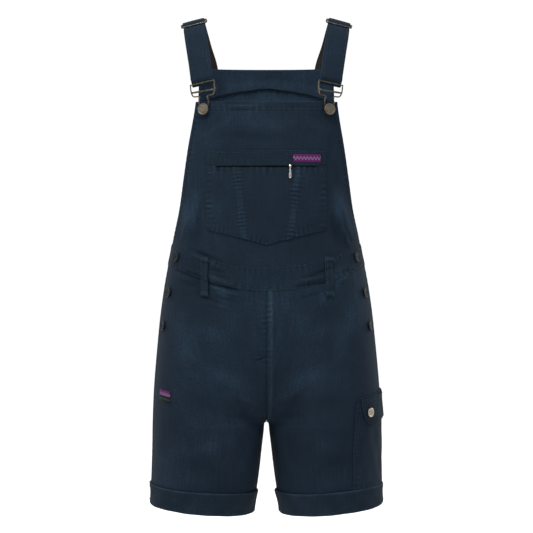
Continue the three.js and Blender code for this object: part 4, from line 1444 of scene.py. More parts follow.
@dataclass
class Waist:
    """Waistband halves with their topstitching, and the belt loops over them."""

    inner: float = -1.9
    outer: float = 0.9

    def build(self) -> list[Piece]:
        """Makes the waistbands, the loops and their stitches.

        Returns:
            The finished pieces of this part.
        """
        made, thread = [], Stitching()
        for face in (-1, 1):
            span = 0.072 if face < 0 else 0.045
            turn = 2 * graded(440, 2.0, (220.0,))[None] - 1
            angle = mix(span, face * QUARTER, 1 - np.abs(turn))
            level = mix(WAISTBAND_TOP, WAISTBAND_BOTTOM, graded(31, 1.5))[:, None]
            own = lap_over(angle) if face < 0 else np.zeros(angle.shape) - 0.2 * smoothstep(-angle, 0, 0.02)
            rows = [
                ClothLine(np.linspace(face * 0.06, face * QUARTER, 90), np.full(90, at), np.full(90, side))
                for at in (WAISTBAND_TOP - 2.2, WAISTBAND_BOTTOM + 2.2)
                for side in (1.0, -1.0)
            ]
            seams = [
                Seam(row, groove=0.35, pucker=0.42, pitch=8.8 + 0.9 * k, reach=7, phase=1.7 * k)
                for k, row in enumerate(rows)
            ]
            name = f"{face_name(face)}_waistband"
            side = np.where(turn < 0, -1.0, 1.0)
            panel = ClothPanel(f"{name}_cloth", angle, level, side, self.inner, self.outer, seams, own=own)
            thing = dress(panel.make(), BAND_TWILL, (name,))
            made.append(thing)
            for row in rows:
                thread.line(row, self.outer - 0.1)
        for side in (1.0, -1.0):
            for face in (-1, 1):
                made.append(self.loop(side, face, thread))
        made.append(thread.finished("waist_stitches", NAVY_THREAD))
        return made

    def loop(self, side: float, face: int, thread: Stitching) -> Piece:
        """Makes one belt loop, bowed over the waistband with its ends turned under and bar tacked.

        Args:
            side: 1 for the wearer's left and -1 for the right.
            face: -1 for the front and 1 for the back.
            thread: where its stitches go.

        Returns:
            The loop.
        """
        middle, half = (101.5, 5.8) if face < 0 else (84.0, 5.8)
        rise = 0 if face < 0 else 14
        u, v = graded(11.6, 1.1)[None], graded(63, 1.4)[:, None]
        x = side * (middle + half * (2 * u - 1)) + 0 * v
        z = mix(-403.0 + rise, -466.0 + rise, v) + 0 * x
        angle, level, sides = FORM.place(x, z, face)
        bow = 1 + 1.4 * np.sin(math.pi * v) + 0 * x
        ends = 0.7 * (np.exp(-(((v - 0.055) / 0.045) ** 2)) + np.exp(-(((v - 0.945) / 0.045) ** 2)))
        crown = 0.3 * (1 - (2 * u - 1) ** 2)
        tacks = -0.35 * (np.exp(-(((v - 0.115) / 0.015) ** 2)) + np.exp(-(((v - 0.885) / 0.015) ** 2)))
        name = f"{'front' if face < 0 else 'back'}_loop_{side_name(side)}"
        outer, _ = FORM.cloth(angle, level, sides, bow + DOUBLE_CLOTH + ends + crown + tacks)
        inner, _ = FORM.cloth(angle, level, sides, bow)
        # Painted light and shade: the bulging turned ends are coloured paler and the bar-tack dips darker
        piece = shell(f"{name}_cloth", outer, inner, (ends + tacks) * 0.8 + 0 * x)
        for across in (-0.62, 0.62):
            xs = np.full(40, side * (middle + half * across))
            zs = np.linspace(-405 + rise, -464 + rise, 40)
            points, normals = FORM.cloth(*FORM.place(xs, zs, face), 0)
            share = np.linspace(0.03, 0.97, 40)
            height = 1 + 1.4 * np.sin(math.pi * share) + DOUBLE_CLOTH + 0.2
            ends = ((share - 0.055) / 0.045, (share - 0.945) / 0.045)
            height += 0.7 * (np.exp(-(ends[0] ** 2)) + np.exp(-(ends[1] ** 2)))
            thread.row(points + normals * height[:, None], normals, 0.8)
        for z0 in (-409.5, -459.5):
            for shift in (0, 0.9):
                xs = side * np.linspace(middle - half + 0.8, middle + half - 0.8, 14)
                place = FORM.place(xs, np.full(14, z0 + rise + shift), face)
                points, normals = FORM.cloth(*place, 1 + DOUBLE_CLOTH + 0.75)
                thread.row(points, normals, 0.6)
        dress(piece, BAND_TWILL, (name,))
        return piece


@dataclass
class Bib:
    """The bib with its hemmed top and sides."""

    hem: float = 12.4
    side_hem: float = 7.5

    def build(self) -> list[Piece]:
        """Makes the bib and its stitches.

        Returns:
            The finished pieces of this part.
        """
        turn = 2 * graded(300, 2.1, (8.0, 292.0))[None] - 1
        level = mix(BIB_TOP, WAISTBAND_TOP - 6, graded(244, 2.0, (self.hem,)))[:, None]
        angle = -mix(FORM.edge_angle(level, "bib"), QUARTER, 1 - np.abs(turn))
        side = np.where(turn < 0, -1.0, 1.0) + 0 * level
        drop = BIB_TOP - level + 0 * turn
        own = 0.5 * (1 - smoothstep(drop, self.hem - 0.6, self.hem + 0.8))
        reach = self.reach(level, turn)
        own = np.maximum(own, 0.5 * (1 - smoothstep(reach, self.side_hem - 0.6, self.side_hem + 0.8)))
        own = own + lap_over(angle) * smoothstep(-level, 350, 380)
        rows = self.rows()
        seams = [
            Seam(row, groove=0.3, pucker=0.35, pitch=9.5, reach=6.5, phase=k) for k, row in enumerate(rows)
        ]
        panel = ClothPanel("bib_cloth", angle, level + 0 * turn, side, seams=seams, own=own)
        piece = dress(panel.make(), NAVY_TWILL, ("bib",))
        thread = Stitching()
        for row in rows:
            thread.line(row, 0.4)
        return [piece, thread.finished("bib_stitches", NAVY_THREAD)]

    def reach(self, level: Array, turn: Array) -> Array:
        """Distance over the cloth from the bib's side edge."""
        width = 300.0
        return (1 - np.abs(turn)) * width / 2 + 0 * level

    def rows(self) -> list[ClothLine]:
        """Rows of stitches: across under the top, and down each side.

        Returns:
            The rows as lines on the cloth.
        """
        found = []
        for side in (1.0, -1.0):
            level = np.full(80, BIB_TOP - self.hem + 1.6)
            edge = -FORM.edge_angle(level, "bib")
            angle = mix(edge - 0.03, -QUARTER, np.linspace(0, 1, 80))
            found.append(ClothLine(angle, level, np.full(80, side)))
            down = np.linspace(BIB_TOP - 2, WAISTBAND_TOP - 2, 120)
            inset = np.interp(down, [WAISTBAND_TOP, BIB_TOP], [0.045, 0.052])
            found.append(ClothLine(-FORM.edge_angle(down, "bib") - inset, down, np.full(120, side)))
        return found


@dataclass
class Back:
    """The back in two halves with a felled centre seam, and the facing inside its top."""

    facing_thick: float = 1.2

    def build(self) -> list[Piece]:
        """Makes the panels, the facing and their stitches.

        Returns:
            The finished pieces of this part.
        """
        made = []
        for side in (1.0, -1.0):
            thread = Stitching()
            level = mix(YOKE_TOP, WAISTBAND_TOP - 6, graded(316, 3.2, (6.0,)))[:, None]
            u = graded(150, 2.9, (8.0, 144.0))[None]
            edge = FORM.edge_angle(level, "rear")
            start = np.where(level < -372, mix(edge, -0.045, smoothstep(-level, 372, 384)), edge)
            angle = mix(start, QUARTER, u)
            reach = u * 150
            own = 0.5 * (1 - smoothstep(reach, 7, 8.4))
            own = own + 0.5 * (1 - smoothstep(YOKE_TOP - level + 0 * u, 7.5, 9))
            seams = []
            centre = ClothLine.down(QUARTER, YOKE_TOP, WAISTBAND_TOP - 6, side)
            seams.append(Seam(centre, groove=0.4, pucker=0.4, pitch=9, reach=7, phase=side))
            if side > 0:
                strip = ClothLine.down(QUARTER - 0.03, YOKE_TOP, WAISTBAND_TOP - 6, side)
                seams.append(Seam(strip, half=3, rise=0.7, groove=0.3))
                for shift in (0.008, 0.05):
                    row = ClothLine.down(QUARTER - shift, YOKE_TOP - 3, WAISTBAND_TOP, side)
                    thread.line(row, 0, own=0.65)
            down = np.linspace(YOKE_TOP - 3, WAISTBAND_TOP - 1, 120)
            hem = ClothLine(FORM.edge_angle(down, "rear") + 0.062, down, np.full(120, side))
            seams.append(Seam(hem, groove=0.3, pucker=0.4, pitch=10, reach=6, phase=3 * side))
            thread.line(hem, 0.45)
            top = np.full(80, YOKE_TOP - 6)
            inward = mix(FORM.edge_angle(top, "rear") + 0.03, QUARTER, np.linspace(0, 1, 80))
            across = ClothLine(inward, top, np.full(80, side))
            thread.line(across, 0.45)
            name = f"back_panel_{side_name(side)}"
            panel = ClothPanel(f"{name}_cloth", angle, level + 0 * u, side, seams=seams, own=own)
            panel.apart = clear_of_centre(side)
            piece = dress(panel.make(), NAVY_TWILL, (name,))
            made += [piece, thread.finished(f"back_{side_name(side)}_stitches", NAVY_THREAD)]
        return made + self.facing()

    def facing(self) -> list[Piece]:
        """Makes the facing, deeper at its ends, and its two rows of stitches.

        Returns:
            The facing and its stitches.
        """
        turn = 2 * graded(270, 2.8)[None] - 1
        v = graded(45, 2.2, (6.0, 41.0))[:, None]
        drop = mix(33.0, 57.0, np.abs(turn) ** 1.4) - 1.6 * np.exp(-((turn / 0.09) ** 2))
        level = YOKE_TOP - 0.6 - v * drop
        angle = mix(FORM.edge_angle(level, "rear") + 0.01, QUARTER, 1 - np.abs(turn))
        side = np.where(turn < 0, -1.0, 1.0) + 0 * v
        slack = 0.35 * np.sin(turn * 23 + 2 * v) * v - 3.4 * smoothstep(v, 0.45, 1)
        outer, _ = FORM.cloth(angle, level, side, -CLOTH - 0.2 + slack)
        inner, _ = FORM.cloth(angle, level, side, -CLOTH - 0.2 - self.facing_thick + slack)
        piece = shell("back_facing_cloth", outer, inner)
        # The darker twill copy is painted shade, offsetting the overhead light on the facing
        dress(piece, INNER_TWILL_PAINTED_SHADE, ("back_facing",))
        thread = Stitching()
        for side_of in (1.0, -1.0):
            for share in (0.07, 0.93):
                turns = np.linspace(0.02, 0.97, 90)
                rows = YOKE_TOP - 0.6 - share * mix(33.0, 57.0, turns**1.4)
                angles = mix(FORM.edge_angle(rows, "rear") + 0.01, QUARTER, 1 - turns)
                lift = -CLOTH - 0.25 - self.facing_thick - (3.2 if share > 0.5 else 0)
                points, normals = FORM.cloth(angles, rows, np.full(90, side_of), lift)
                thread.row(points, -normals)
        return [piece, thread.finished("facing_stitches", NAVY_THREAD)]


@dataclass
class Cuffs:
    """Turned-up cuffs, a little lumpy, standing off the legs at their top edge."""

    columns: int = 210

    def build(self) -> list[Piece]:
        """Makes both cuffs and their tacks.

        Returns:
            The finished pieces of this part.
        """
        made = []
        for side in (1.0, -1.0):
            u = np.linspace(0, 1, self.columns, endpoint=False)[None]
            v = graded(33.5, 2.2)[:, None]
            angle = QUARTER * (1 - 2 * u) + 0 * v
            level = mix(CUFF_TOP, HEM, v) + 0.5 * np.sin(6 * math.pi * u + side) * (1 - v)
            lump = 0.45 * np.sin(14 * math.pi * u + 2 * side + 3 * v)
            lump = lump + 0.35 * np.sin(30 * math.pi * u + 5 * v + side)
            flare = 1.1 * (1 - smoothstep(v, 0, 0.5)) + 0.5 * smoothstep(v, 0.7, 1)
            seam = sum(np.exp(-(((angle - at) / 0.018) ** 2)) for at in (0.0, QUARTER, -QUARTER))
            own = lump * 0.7 + flare + 0.7 * seam - 0.5 * sum(
                np.exp(-(((angle - at) / 0.008) ** 2)) for at in (0.03, QUARTER - 0.03, -QUARTER + 0.03)
            )
            outer, _ = FORM.cloth(angle, level, side, 2.6 + own)
            inner, _ = FORM.cloth(angle, level, side, 0.2 + 0.5 * flare * (v < 0.5))
            # Tone: both folded edges paler, as wear with painted highlight; lumps and seam ridges paler and
            # tack dips darker, as painted light and shade
            tone = 0.5 * (1 - smoothstep(v, 0, 0.08)) + 0.5 * smoothstep(v, 0.92, 1) + 0.3 * (own - flare)
            name = f"cuff_{side_name(side)}"
            piece = shell(f"{name}_cloth", outer, inner, tone + 0 * u, wrap=True)
            dress(piece, BAND_TWILL, (name,))
            thread = Stitching()
            for at in (0.006, -0.006):
                for start, end in ((CUFF_TOP - 2, CUFF_TOP - 9), (HEM + 8, HEM + 2)):
                    thread.line(ClothLine.down(at, start, end, side, 12), 2.6, own=1.6)
            made += [piece, thread.finished(f"{name}_tacks", NAVY_THREAD)]
        return made


def patch(
    left: float, right: float, top: float | Callable, bottom: float | Callable, u: Array, v: Array
) -> tuple[Array, ...]:
    """Angle, level and side of a grid laid on the front of the trunk, given in front view.

    Args:
        left: x of its left edge.
        right: x of its right edge.
        top: z of its top edge, or a function of x that gives it.
        bottom: the same for its lower edge.
        u: shares across.
        v: shares down.

    Returns:
        Angle, level, side, x and z of the grid.
    """
    x = mix(left, right, u[None]) + 0 * v[:, None]
    edges = (edge(x) if callable(edge) else edge + 0 * x for edge in (top, bottom))
    z = mix(*edges, v[:, None])
    return (*FORM.place(x, z, -1), x, z)


@dataclass
class BibPocket:
    """The zipped pocket on the bib: pocket bag, top band, zip and label."""

    # Middle lines of the two puckered seams, from (x, z) to (x, z)
    seam_lines: tuple = ((-49.7, -258.0, -35.6, -374.0), (51.3, -258.0, 39.0, -372.5))
    seam_half: float = 5.0
    # How far the band hangs over the zip
    lap: float = 1.6
    folds: tuple = (
        (-80, -257, -66, -282, 5, -1.6),
        (-66, -282, -62, -312, 6, -1.3),
        (-88, -262, -76, -296, 8, 1.6),
        (-56, -262, -52, -300, 5, 1.0),
        (-92, -308, -84, -310, 3.5, 0.8),
        (-92, -322, -82, -325, 3.5, 0.8),
        (-92, -336, -83, -338, 3.5, 0.7),
        (-24, -262, -10, -330, 12, 0.7),
        (20, -262, 8, -340, 12, 0.6),
        (70, -262, 84, -320, 9, 0.8),
        (-70, -330, -54, -362, 8, 0.7),
        (74, -334, 52, -362, 8, 0.7),
        (-88, -352, -40, -368, 5, -0.6),
        (88, -350, 44, -366, 5, -0.6),
    )

    def build(self) -> list[Piece]:
        """Makes every piece of the pocket."""
        return [*self.bag(), *self.band(), *self.zip(), self.label()]

    def bag(self) -> list[Piece]:
        """Makes the pocket's cloth with its two felled seams, and its stitches.

        Returns:
            The pocket's cloth and its stitches.
        """
        u, v = graded(194, 1.7, (59.0, 150.0, 2.5, 191.5), 1.0, 5.0), graded(112, 1.7, (2.5, 109.5), 1.0, 4.0)
        angle, level, side, x, z = patch(-POCKET_HALF, POCKET_HALF, self.mouth, pocket_bottom, u, v)
        seams, thread = [], Stitching()
        for k, (x0, z0, x1, z1) in enumerate(self.seam_lines):
            line = ClothLine.on_trunk((x0, x1), (z0, z1), -1)
            seams.append(Seam(line, self.seam_half, 0.7, 0.4, 1.05, 6.4 + 0.5 * k, 8.0, 2.0 * k))
            for shift in (-1, 1):
                ends = (x0 + shift * (self.seam_half - 1.2), x1 + shift * (self.seam_half - 1.2))
                row = ClothLine.on_trunk(ends, (z0, z1 + 2), -1)
                thread.line(row, SEAM_GAP + CLOTH + 0.55)
        for k, row in enumerate(self.edges(2.3)):
            seams.append(Seam(row, groove=0.4, pucker=0.6, pitch=7.5 + k, reach=8, phase=k))
            thread.line(row, SEAM_GAP + CLOTH - 0.1)
        own = fold_height(self.folds, x, z) * smoothstep(z - pocket_bottom(x), 2, 14)
        outer = SEAM_GAP + CLOTH
        panel = ClothPanel("bib_pocket_cloth", angle, level, side, 0.25, outer, seams, own=own, follow=False)
        piece = dress(panel.make(), NAVY_TWILL, ("bib_pocket",))
        for at in (-POCKET_HALF + 4, POCKET_HALF - 4):
            for shift in (0, 0.9, 1.8):
                tack = ClothLine.on_trunk((at - 3.2, at + 3.2), (POCKET_TOP - 2 - shift,) * 2, -1, 12)
                thread.row(*FORM.cloth(tack.angle, tack.level, tack.side, SEAM_GAP + CLOTH), 0.5)
        return [piece, thread.finished("bib_pocket_stitches", NAVY_THREAD)]

    def mouth(self, x: Array) -> Array:
        """Top edge of the pocket's cloth: it meets the band beyond the ends of the zip."""
        return POCKET_TOP + 4.6 * smoothstep(np.abs(x), ZIP_HALF - 5, ZIP_HALF - 1) - 0.5 * np.cos(x / 22)

    def edges(self, inset: float) -> list[ClothLine]:
        """Rows just inside the sides and the lower edge.

        Args:
            inset: how far in from the edge the row runs.

        Returns:
            The rows as lines on the cloth.
        """
        xs = np.linspace(-POCKET_HALF + inset, POCKET_HALF - inset, 100)
        lower = ClothLine.on_trunk(xs, pocket_bottom(xs) + inset, -1, 200)
        found = [lower]
        for sign in (-1, 1):
            at = sign * (POCKET_HALF - inset)
            found.append(ClothLine.on_trunk((at, at), (POCKET_TOP - 1, POCKET_CORNER + 2), -1))
        top = ClothLine.on_trunk((-POCKET_HALF + 4, POCKET_HALF - 4), (POCKET_TOP - 2.2,) * 2, -1)
        return [*found, top]

    def lapped_edge(self, x: Array) -> Array:
        """Lower edge of the band, which hangs over the zip."""
        return BAND_BOTTOM - self.lap * smoothstep(ZIP_HALF + 4 - np.abs(x), 0, 8)

    def band(self) -> list[Piece]:
        """Makes the band over the zip, and its stitches.

        Returns:
            The band's cloth and its stitches.
        """
        u, v = graded(194, 2.2, (2.5, 191.5)), graded(23, 1.4)
        angle, level, side, x, z = patch(-POCKET_HALF, POCKET_HALF, BAND_TOP, self.lapped_edge, u, v)
        own = 1.3 * smoothstep(v[:, None], 0.6, 1) * smoothstep(ZIP_HALF + 2 - np.abs(x), 0, 14)
        own = own * (1 + 0.3 * np.sin(x / 9)) + 0.25 * np.sin(x / 13 + z / 5)
        thread, seams = Stitching(), []
        for k, at in enumerate((BAND_TOP - 2.2, BAND_BOTTOM + 2.2)):
            row = ClothLine.on_trunk((-POCKET_HALF + 2, POCKET_HALF - 2), (at, at), -1)
            seams.append(Seam(row, groove=0.35, pucker=0.35, pitch=8 + k, reach=5, phase=k))
            thread.line(row, SEAM_GAP + DOUBLE_CLOTH - 0.1)
        for at in (-POCKET_HALF + 2.2, POCKET_HALF - 2.2):
            row = ClothLine.on_trunk((at, at), (BAND_TOP - 2, BAND_BOTTOM + 2), -1, 30)
            thread.line(row, SEAM_GAP + DOUBLE_CLOTH - 0.1)
        outer = SEAM_GAP + DOUBLE_CLOTH
        panel = ClothPanel("bib_pocket_band_cloth", angle, level, side, 0.25, outer, seams, own=own)
        piece = dress(panel.make(), BAND_TWILL, ("bib_pocket_band",))
        return [piece, thread.finished("pocket_band_stitches", NAVY_THREAD)]

    def zip(self) -> list[Piece]:
        """Makes the zip's tape with its coils, the slider and the pull tab.

        Returns:
            The tape, coil, slider and tab.
        """
        middle = (BAND_BOTTOM + POCKET_TOP) / 2
        u, v = graded(172, 3.5), graded(9.5, 1.4)
        angle, level, side, x, z = patch(-ZIP_HALF, ZIP_HALF, BAND_BOTTOM + 2, POCKET_TOP - 2, u, v)
        outer, _ = FORM.cloth(angle, level, side, 0.85)
        inner, _ = FORM.cloth(angle, level, side, 0.2)
        # The tape and coil are darkened as painted shade under the band's lap
        tape = dress(shell("zip_tape_woven", outer, inner), ZIP_COIL_PAINTED_SHADE, ("zip_chain",))
        seat, out = FORM.cloth(*FORM.place(SLIDER_X, middle, -1), 0)
        return [tape, self.coil(middle), self.slider(seat), self.tab(seat)]

    def coil(self, middle: float) -> Piece:
        """Makes the two rows of teeth, each tooth a small rounded loop.

        Args:
            middle: the height of the tape's middle.

        Returns:
            The coil as one object.
        """
        pitch, vertices, faces, count = 1.7, [], [], 0
        for k, x in enumerate(np.arange(-ZIP_HALF + 2, ZIP_HALF - 2, pitch / 2)):
            sign = 1 if k % 2 else -1
            zs = middle + sign * np.array([-0.5, 0.5, 1.5, 2.0])
            route, _ = FORM.cloth(*FORM.place(np.full(4, x), zs, -1), np.array([1.05, 1.35, 1.25, 0.85]))
            made, corners = tube_parts(round_rings(route, 0.42, 6, np.array([1.0, 0, 0])))
            vertices.append(made)
            faces += [[i + count for i in face] for face in corners]
            count += len(made)
        thing = link("zip_coil_teeth", np.concatenate(vertices), faces)
        return dress(thing, ZIP_COIL_PAINTED_SHADE)

    def slider(self, seat: Array) -> Piece:
        """Makes the slider: a waisted body, two lugs and the pin between them.

        Args:
            seat: the place of the slider's middle.

        Returns:
            The slider as one object.
        """
        parts = [bevelled_box((9.0, 1.4, 4.4), (0, -2.9, 0), 0.45)]
        reach = 5.6 + 0.7 + 0.5 - 2.2
        for end in (-1, 1):
            parts.append(bevelled_box((1.0, reach, 2.6), (end * 2.7, -(2.2 + reach / 2), 0), 0.3))
        ends = np.array([[-2.9, -5.6, 0], [0, -5.6, 0], [2.9, -5.6, 0]])
        pin = round_rings(ends, 0.7, 12, np.array([0, 0, 1.0]))
        parts.append(tube_parts(pin))
        # Black as painted shade: the slider sits in the shadow of the band's lap
        return dress(joined("zip_slider_cast", parts, seat), BLACK_ENAMEL_PAINTED_SHADE, ("zip_slider",))

    def tab(self, seat: Array) -> Piece:
        """Makes the pull tab: an eye round the pin and a pillowed teardrop blade.

        Args:
            seat: the place of the slider's middle.

        Returns:
            The tab as one object.
        """
        t = np.linspace(0, 1, 24)
        down = mix(-1.25, -20.5, t)
        rounded = np.sqrt(np.clip(1 - ((t - 0.86) / 0.14).clip(0) ** 2, 0.02, 1))
        width = mix(0.85, 2.15, smoothstep(t, 0, 0.85)) * rounded
        width *= np.sqrt(np.clip(t / 0.04, 0.35, 1))
        thick = 0.66 * np.minimum(1, width / 1.3)
        turn = 2 * math.pi * np.arange(16) / 16
        rings = np.stack(
            [
                width[:, None] * signed_power(np.cos(turn), 0.8),
                thick[:, None] * signed_power(np.sin(turn), 0.8),
                down[:, None] + 0 * turn,
            ],
            -1,
        )
        around = 2 * math.pi * np.arange(28) / 28
        loop = np.stack([0 * around, 1.42 * np.cos(around), 1.42 * np.sin(around)], -1)
        radial = unit(loop)
        size = 2 * math.pi * np.arange(10) / 10
        eye = loop[:, None] + 0.38 * np.cos(size)[None, :, None] * radial[:, None]
        eye[..., 0] += 1.9 * signed_power(np.sin(size), 0.6)[None]
        parts = [tube_parts(rings), tube_parts(eye, closed=True)]
        thing = joined("zip_pull_tab_cast", parts, seat + (0, -5.6, 0))
        return dress(thing, BRIGHT_ZINC, ("zip_pull_tab",), body=PULL_BODY)

    def label(self) -> Piece:
        """Makes the purple woven label on the band.

        Returns:
            The label as one object.
        """
        u, v = graded(44, 1.6), graded(12, 1.2)
        angle, level, side, x, z = patch(43.5, 87.5, -235.5, -247.5, u, v)
        lift = SEAM_GAP + DOUBLE_CLOTH
        edge = np.minimum(np.minimum(u, 1 - u)[None] * 44, np.minimum(v, 1 - v)[:, None] * 12)
        pillow = 0.75 + 0.25 * smoothstep(edge, 0, 2.0) + 0.08 * np.sin(x / 4)
        outer, _ = FORM.cloth(angle, level, side, lift + pillow)
        inner, _ = FORM.cloth(angle, level, side, lift - 0.2)
        piece = dress(shell("bib_label_woven", outer, inner), PURPLE_LABEL, ("bib_label",))
        return piece


def bevelled_box(size: tuple, middle: tuple, bevel: float) -> tuple[Array, list[list[int]]]:
    """Vertices and faces of a box with cut edges.

    Args:
        size: its three sizes.
        middle: its middle.
        bevel: how much is cut from each edge.

    Returns:
        Vertices and faces.
    """
    mesh = bmesh.new()
    bmesh.ops.create_cube(mesh, size=1.0)
    bmesh.ops.scale(mesh, vec=size, verts=mesh.verts)
    corners = mesh.edges[:] + mesh.verts[:]
    bmesh.ops.bevel(mesh, geom=corners, offset=bevel, segments=2, profile=0.6, affect="EDGES")
    mesh.verts.index_update()
    vertices = np.array([vertex.co[:] for vertex in mesh.verts]) + np.array(middle)
    faces = [[vertex.index for vertex in face.verts] for face in mesh.faces]
    mesh.free()
    return vertices, faces


def joined(
    name: str, parts: Sequence[tuple[Array, list]], seat: Array | Sequence[float] = (0, 0, 0)
) -> Piece:
    """Joins several closed forms into one piece.

    Args:
        name: the piece's name.
        parts: vertices and faces of each form.
        seat: place of their common origin.

    Returns:
        The new object.
    """
    vertices, faces, count = [], [], 0
    for points, corners in parts:
        vertices.append(np.asarray(points) + np.asarray(seat))
        faces += [[int(i) + count for i in face] for face in corners]
        count += len(points)
    return link(name, np.concatenate(vertices), faces)


@dataclass
class CargoPocket:
    """Cargo pocket and buttoned flap on the wearer's left leg."""

    top: float = -624.0
    slope: float = 0.2
    front_turns: tuple = (60.0, 66.0)
    flap_turns: tuple = (55.5, 51.0)
    back_turn: float = -32.0
    flap_back: float = -28.0

    def angle(self, turn: Array) -> Array:
        """Angle on the leg for a turn in degrees from the side seam towards the front."""
        return -np.radians(turn) / 2

    def pocket_line(self, u: Array, v: Array) -> ClothLine:
        """A line on the pocket, given in shares of its width and depth.

        Args:
            u: share across the pocket.
            v: share down it.

        Returns:
            The places on the cloth.
        """
        u, v = np.broadcast_arrays(np.asarray(u, float), np.asarray(v, float))
        turn = mix(mix(*self.front_turns, v), self.back_turn, u)
        return ClothLine(self.angle(turn), mix(self.top - self.slope * turn, CUFF_TOP, v), np.ones(u.shape))

    def flap_line(self, u: Array, v: Array) -> ClothLine:
        """A line on the flap, given in shares of its width and depth.

        Args:
            u: share across the flap.
            v: share down it.

        Returns:
            The places on the cloth.
        """
        u, v = np.broadcast_arrays(np.asarray(u, float), np.asarray(v, float))
        turn = mix(mix(*self.flap_turns, v), self.flap_back, u)
        corner = 11 * (1 - np.minimum(1, np.minimum(u, 1 - u) / 0.14)) ** 2
        level = self.top - self.slope * turn - 3.5 - v * (42 - corner)
        return ClothLine(self.angle(turn), level, np.ones(u.shape))

    def build(self) -> list[Piece]:
        """Makes the pocket, its flap and their stitches.

        Returns:
            The finished pieces of this part.
        """
        thread = Stitching()
        u = graded(168, 2.0, (2.0, 8.0, 160.0), 1.0, 4.0)[None]
        v = graded(150, 2.2, (3.0, 146.0), 1.0, 4.0)[:, None]
        line = self.pocket_line(u, v)
        edge = np.minimum(np.minimum(u, 1 - u) * 1.0, np.minimum(v, 1 - v) * 1.2)
        puff = 0.8 * np.sin(QUARTER * np.clip(edge / 0.2, 0, 1))
        slack = 0.6 * np.sin(u * 17 + v * 5) * np.sin(v * 9 + u * 4) + 0.4 * np.sin(u * 31 - v * 11)
        puff = puff + slack * smoothstep(edge, 0.03, 0.16)
        sewn = [
            self.pocket_line(np.full(120, 0.014), np.linspace(0.02, 0.985, 120)),
            self.pocket_line(np.full(120, 0.05), np.linspace(0.02, 0.985, 120)),
            self.pocket_line(np.full(120, 0.986), np.linspace(0.02, 0.985, 120)),
            self.pocket_line(np.linspace(0.014, 0.986, 140), np.full(140, 0.978)),
            self.pocket_line(np.linspace(0.014, 0.986, 140), np.full(140, 0.016)),
        ]
        seams = [
            Seam(row, groove=0.35, pucker=0.45, pitch=8 + 0.5 * k, reach=6, phase=k)
            for k, row in enumerate(sewn)
        ]
        place = (line.angle, line.level, line.side)
        panel = ClothPanel("cargo_pocket_cloth", *place, 0.4, 1.9, seams, own=puff, follow=False)
        pocket = dress(panel.make(), NAVY_TWILL, ("cargo_pocket",))
        for row in sewn:
            thread.line(row, 1.85)
        flap = self.flap(thread)
        return [pocket, flap, thread.finished("cargo_stitches", NAVY_THREAD)]

    def flap(self, thread: Stitching) -> Piece:
        """Makes the flap with rounded corners, lifting a little between its button and its corners.

        Args:
            thread: the stitching that takes the flap's rows.

        Returns:
            The flap's cloth.
        """
        u, v = graded(150, 1.9, (2.0, 8.0, 142.0), 1.0, 4.0)[None], graded(42, 1.7, (35.0,))[:, None]
        line = self.flap_line(u, v)
        base = SEAM_GAP + 1.6 + 0.8 + 0.6
        lift = 0.9 * np.sin(u * 2 * math.pi * 1.5 + 0.5) * v**2 + 0.25 * np.sin(u * 37 + v * 4)
        lift = lift * smoothstep(np.abs(u - self.button_share()), 0.03, 0.16) + 1.5 * v**2
        sewn = [
            self.flap_line(np.linspace(0.02, 0.98, 140), np.full(140, 0.94)),
            self.flap_line(np.linspace(0.06, 0.94, 140), np.full(140, 0.79)),
            self.flap_line(np.full(60, 0.018), np.linspace(0.05, 0.9, 60)),
            self.flap_line(np.full(60, 0.982), np.linspace(0.05, 0.9, 60)),
            self.flap_line(np.linspace(0.02, 0.98, 140), np.full(140, 0.07)),
        ]
        seams = [
            Seam(row, groove=0.35, pucker=0.3, pitch=8.5, reach=5, phase=k) for k, row in enumerate(sewn)
        ]
        place = (line.angle, line.level, line.side)
        panel = ClothPanel("cargo_flap_cloth", *place, base, base + DOUBLE_CLOTH, seams, own=lift)
        piece = dress(panel.make(), BAND_TWILL, ("cargo_flap",))
        for row in sewn:
            share = np.full(row.angle.shape, base + DOUBLE_CLOTH + 0.25)
            points, normals = FORM.cloth(row.angle, row.level, row.side, share)
            thread.row(points, normals)
        return piece

    def button_share(self) -> float:
        """The button's share of the flap's width."""
        front = mix(*self.flap_turns, 0.6)
        return float((front - 45.0) / (front - self.flap_back))


@dataclass
class SideLabel:
    """Woven label in two colours on the wearer's right leg."""

    turns: tuple = (33.0, 52.0)
    slope: float = 0.16

    def build(self) -> list[Piece]:
        """Makes both halves of the label.

        Returns:
            The finished pieces of this part.
        """
        upper = self.part("upper", -621.4, -630.3, 0.9, PURPLE_LABEL, Slot.PURPLE)
        lower = self.part("lower", -630.1, -641.0, 0.7, GREEN_LABEL, Slot.GREEN)
        return [upper, lower]

    def part(self, name: str, top: float, bottom: float, lift: float, finish: Finish, slot: Slot) -> Piece:
        """Makes one half.

        Args:
            name: upper or lower.
            top: level of its top edge at the front end.
            bottom: level of its lower edge there.
            lift: height of its face.
            finish: its finish.
            slot: not used.

        Returns:
            The piece.
        """
        u, v = graded(36, 1.6)[None], graded(abs(top - bottom), 1.4)[:, None]
        turn = mix(self.turns[1], self.turns[0], u) + 0 * v
        level = mix(top, bottom, v) - self.slope * (turn - self.turns[0])
        edge = np.minimum(np.minimum(u, 1 - u) * 36, np.minimum(v, 1 - v) * abs(top - bottom))
        pillow = lift + 0.3 * smoothstep(edge, 0, 2) + 0.12 * np.sin(turn / 2.4)
        outer, _ = FORM.cloth(-np.radians(turn) / 2, level, -1.0, pillow)
        inner, _ = FORM.cloth(-np.radians(turn) / 2, level, -1.0, 0.1)
        piece = dress(shell(f"side_label_{name}_woven", outer, inner), finish, (f"side_label_{name}",))
        return piece


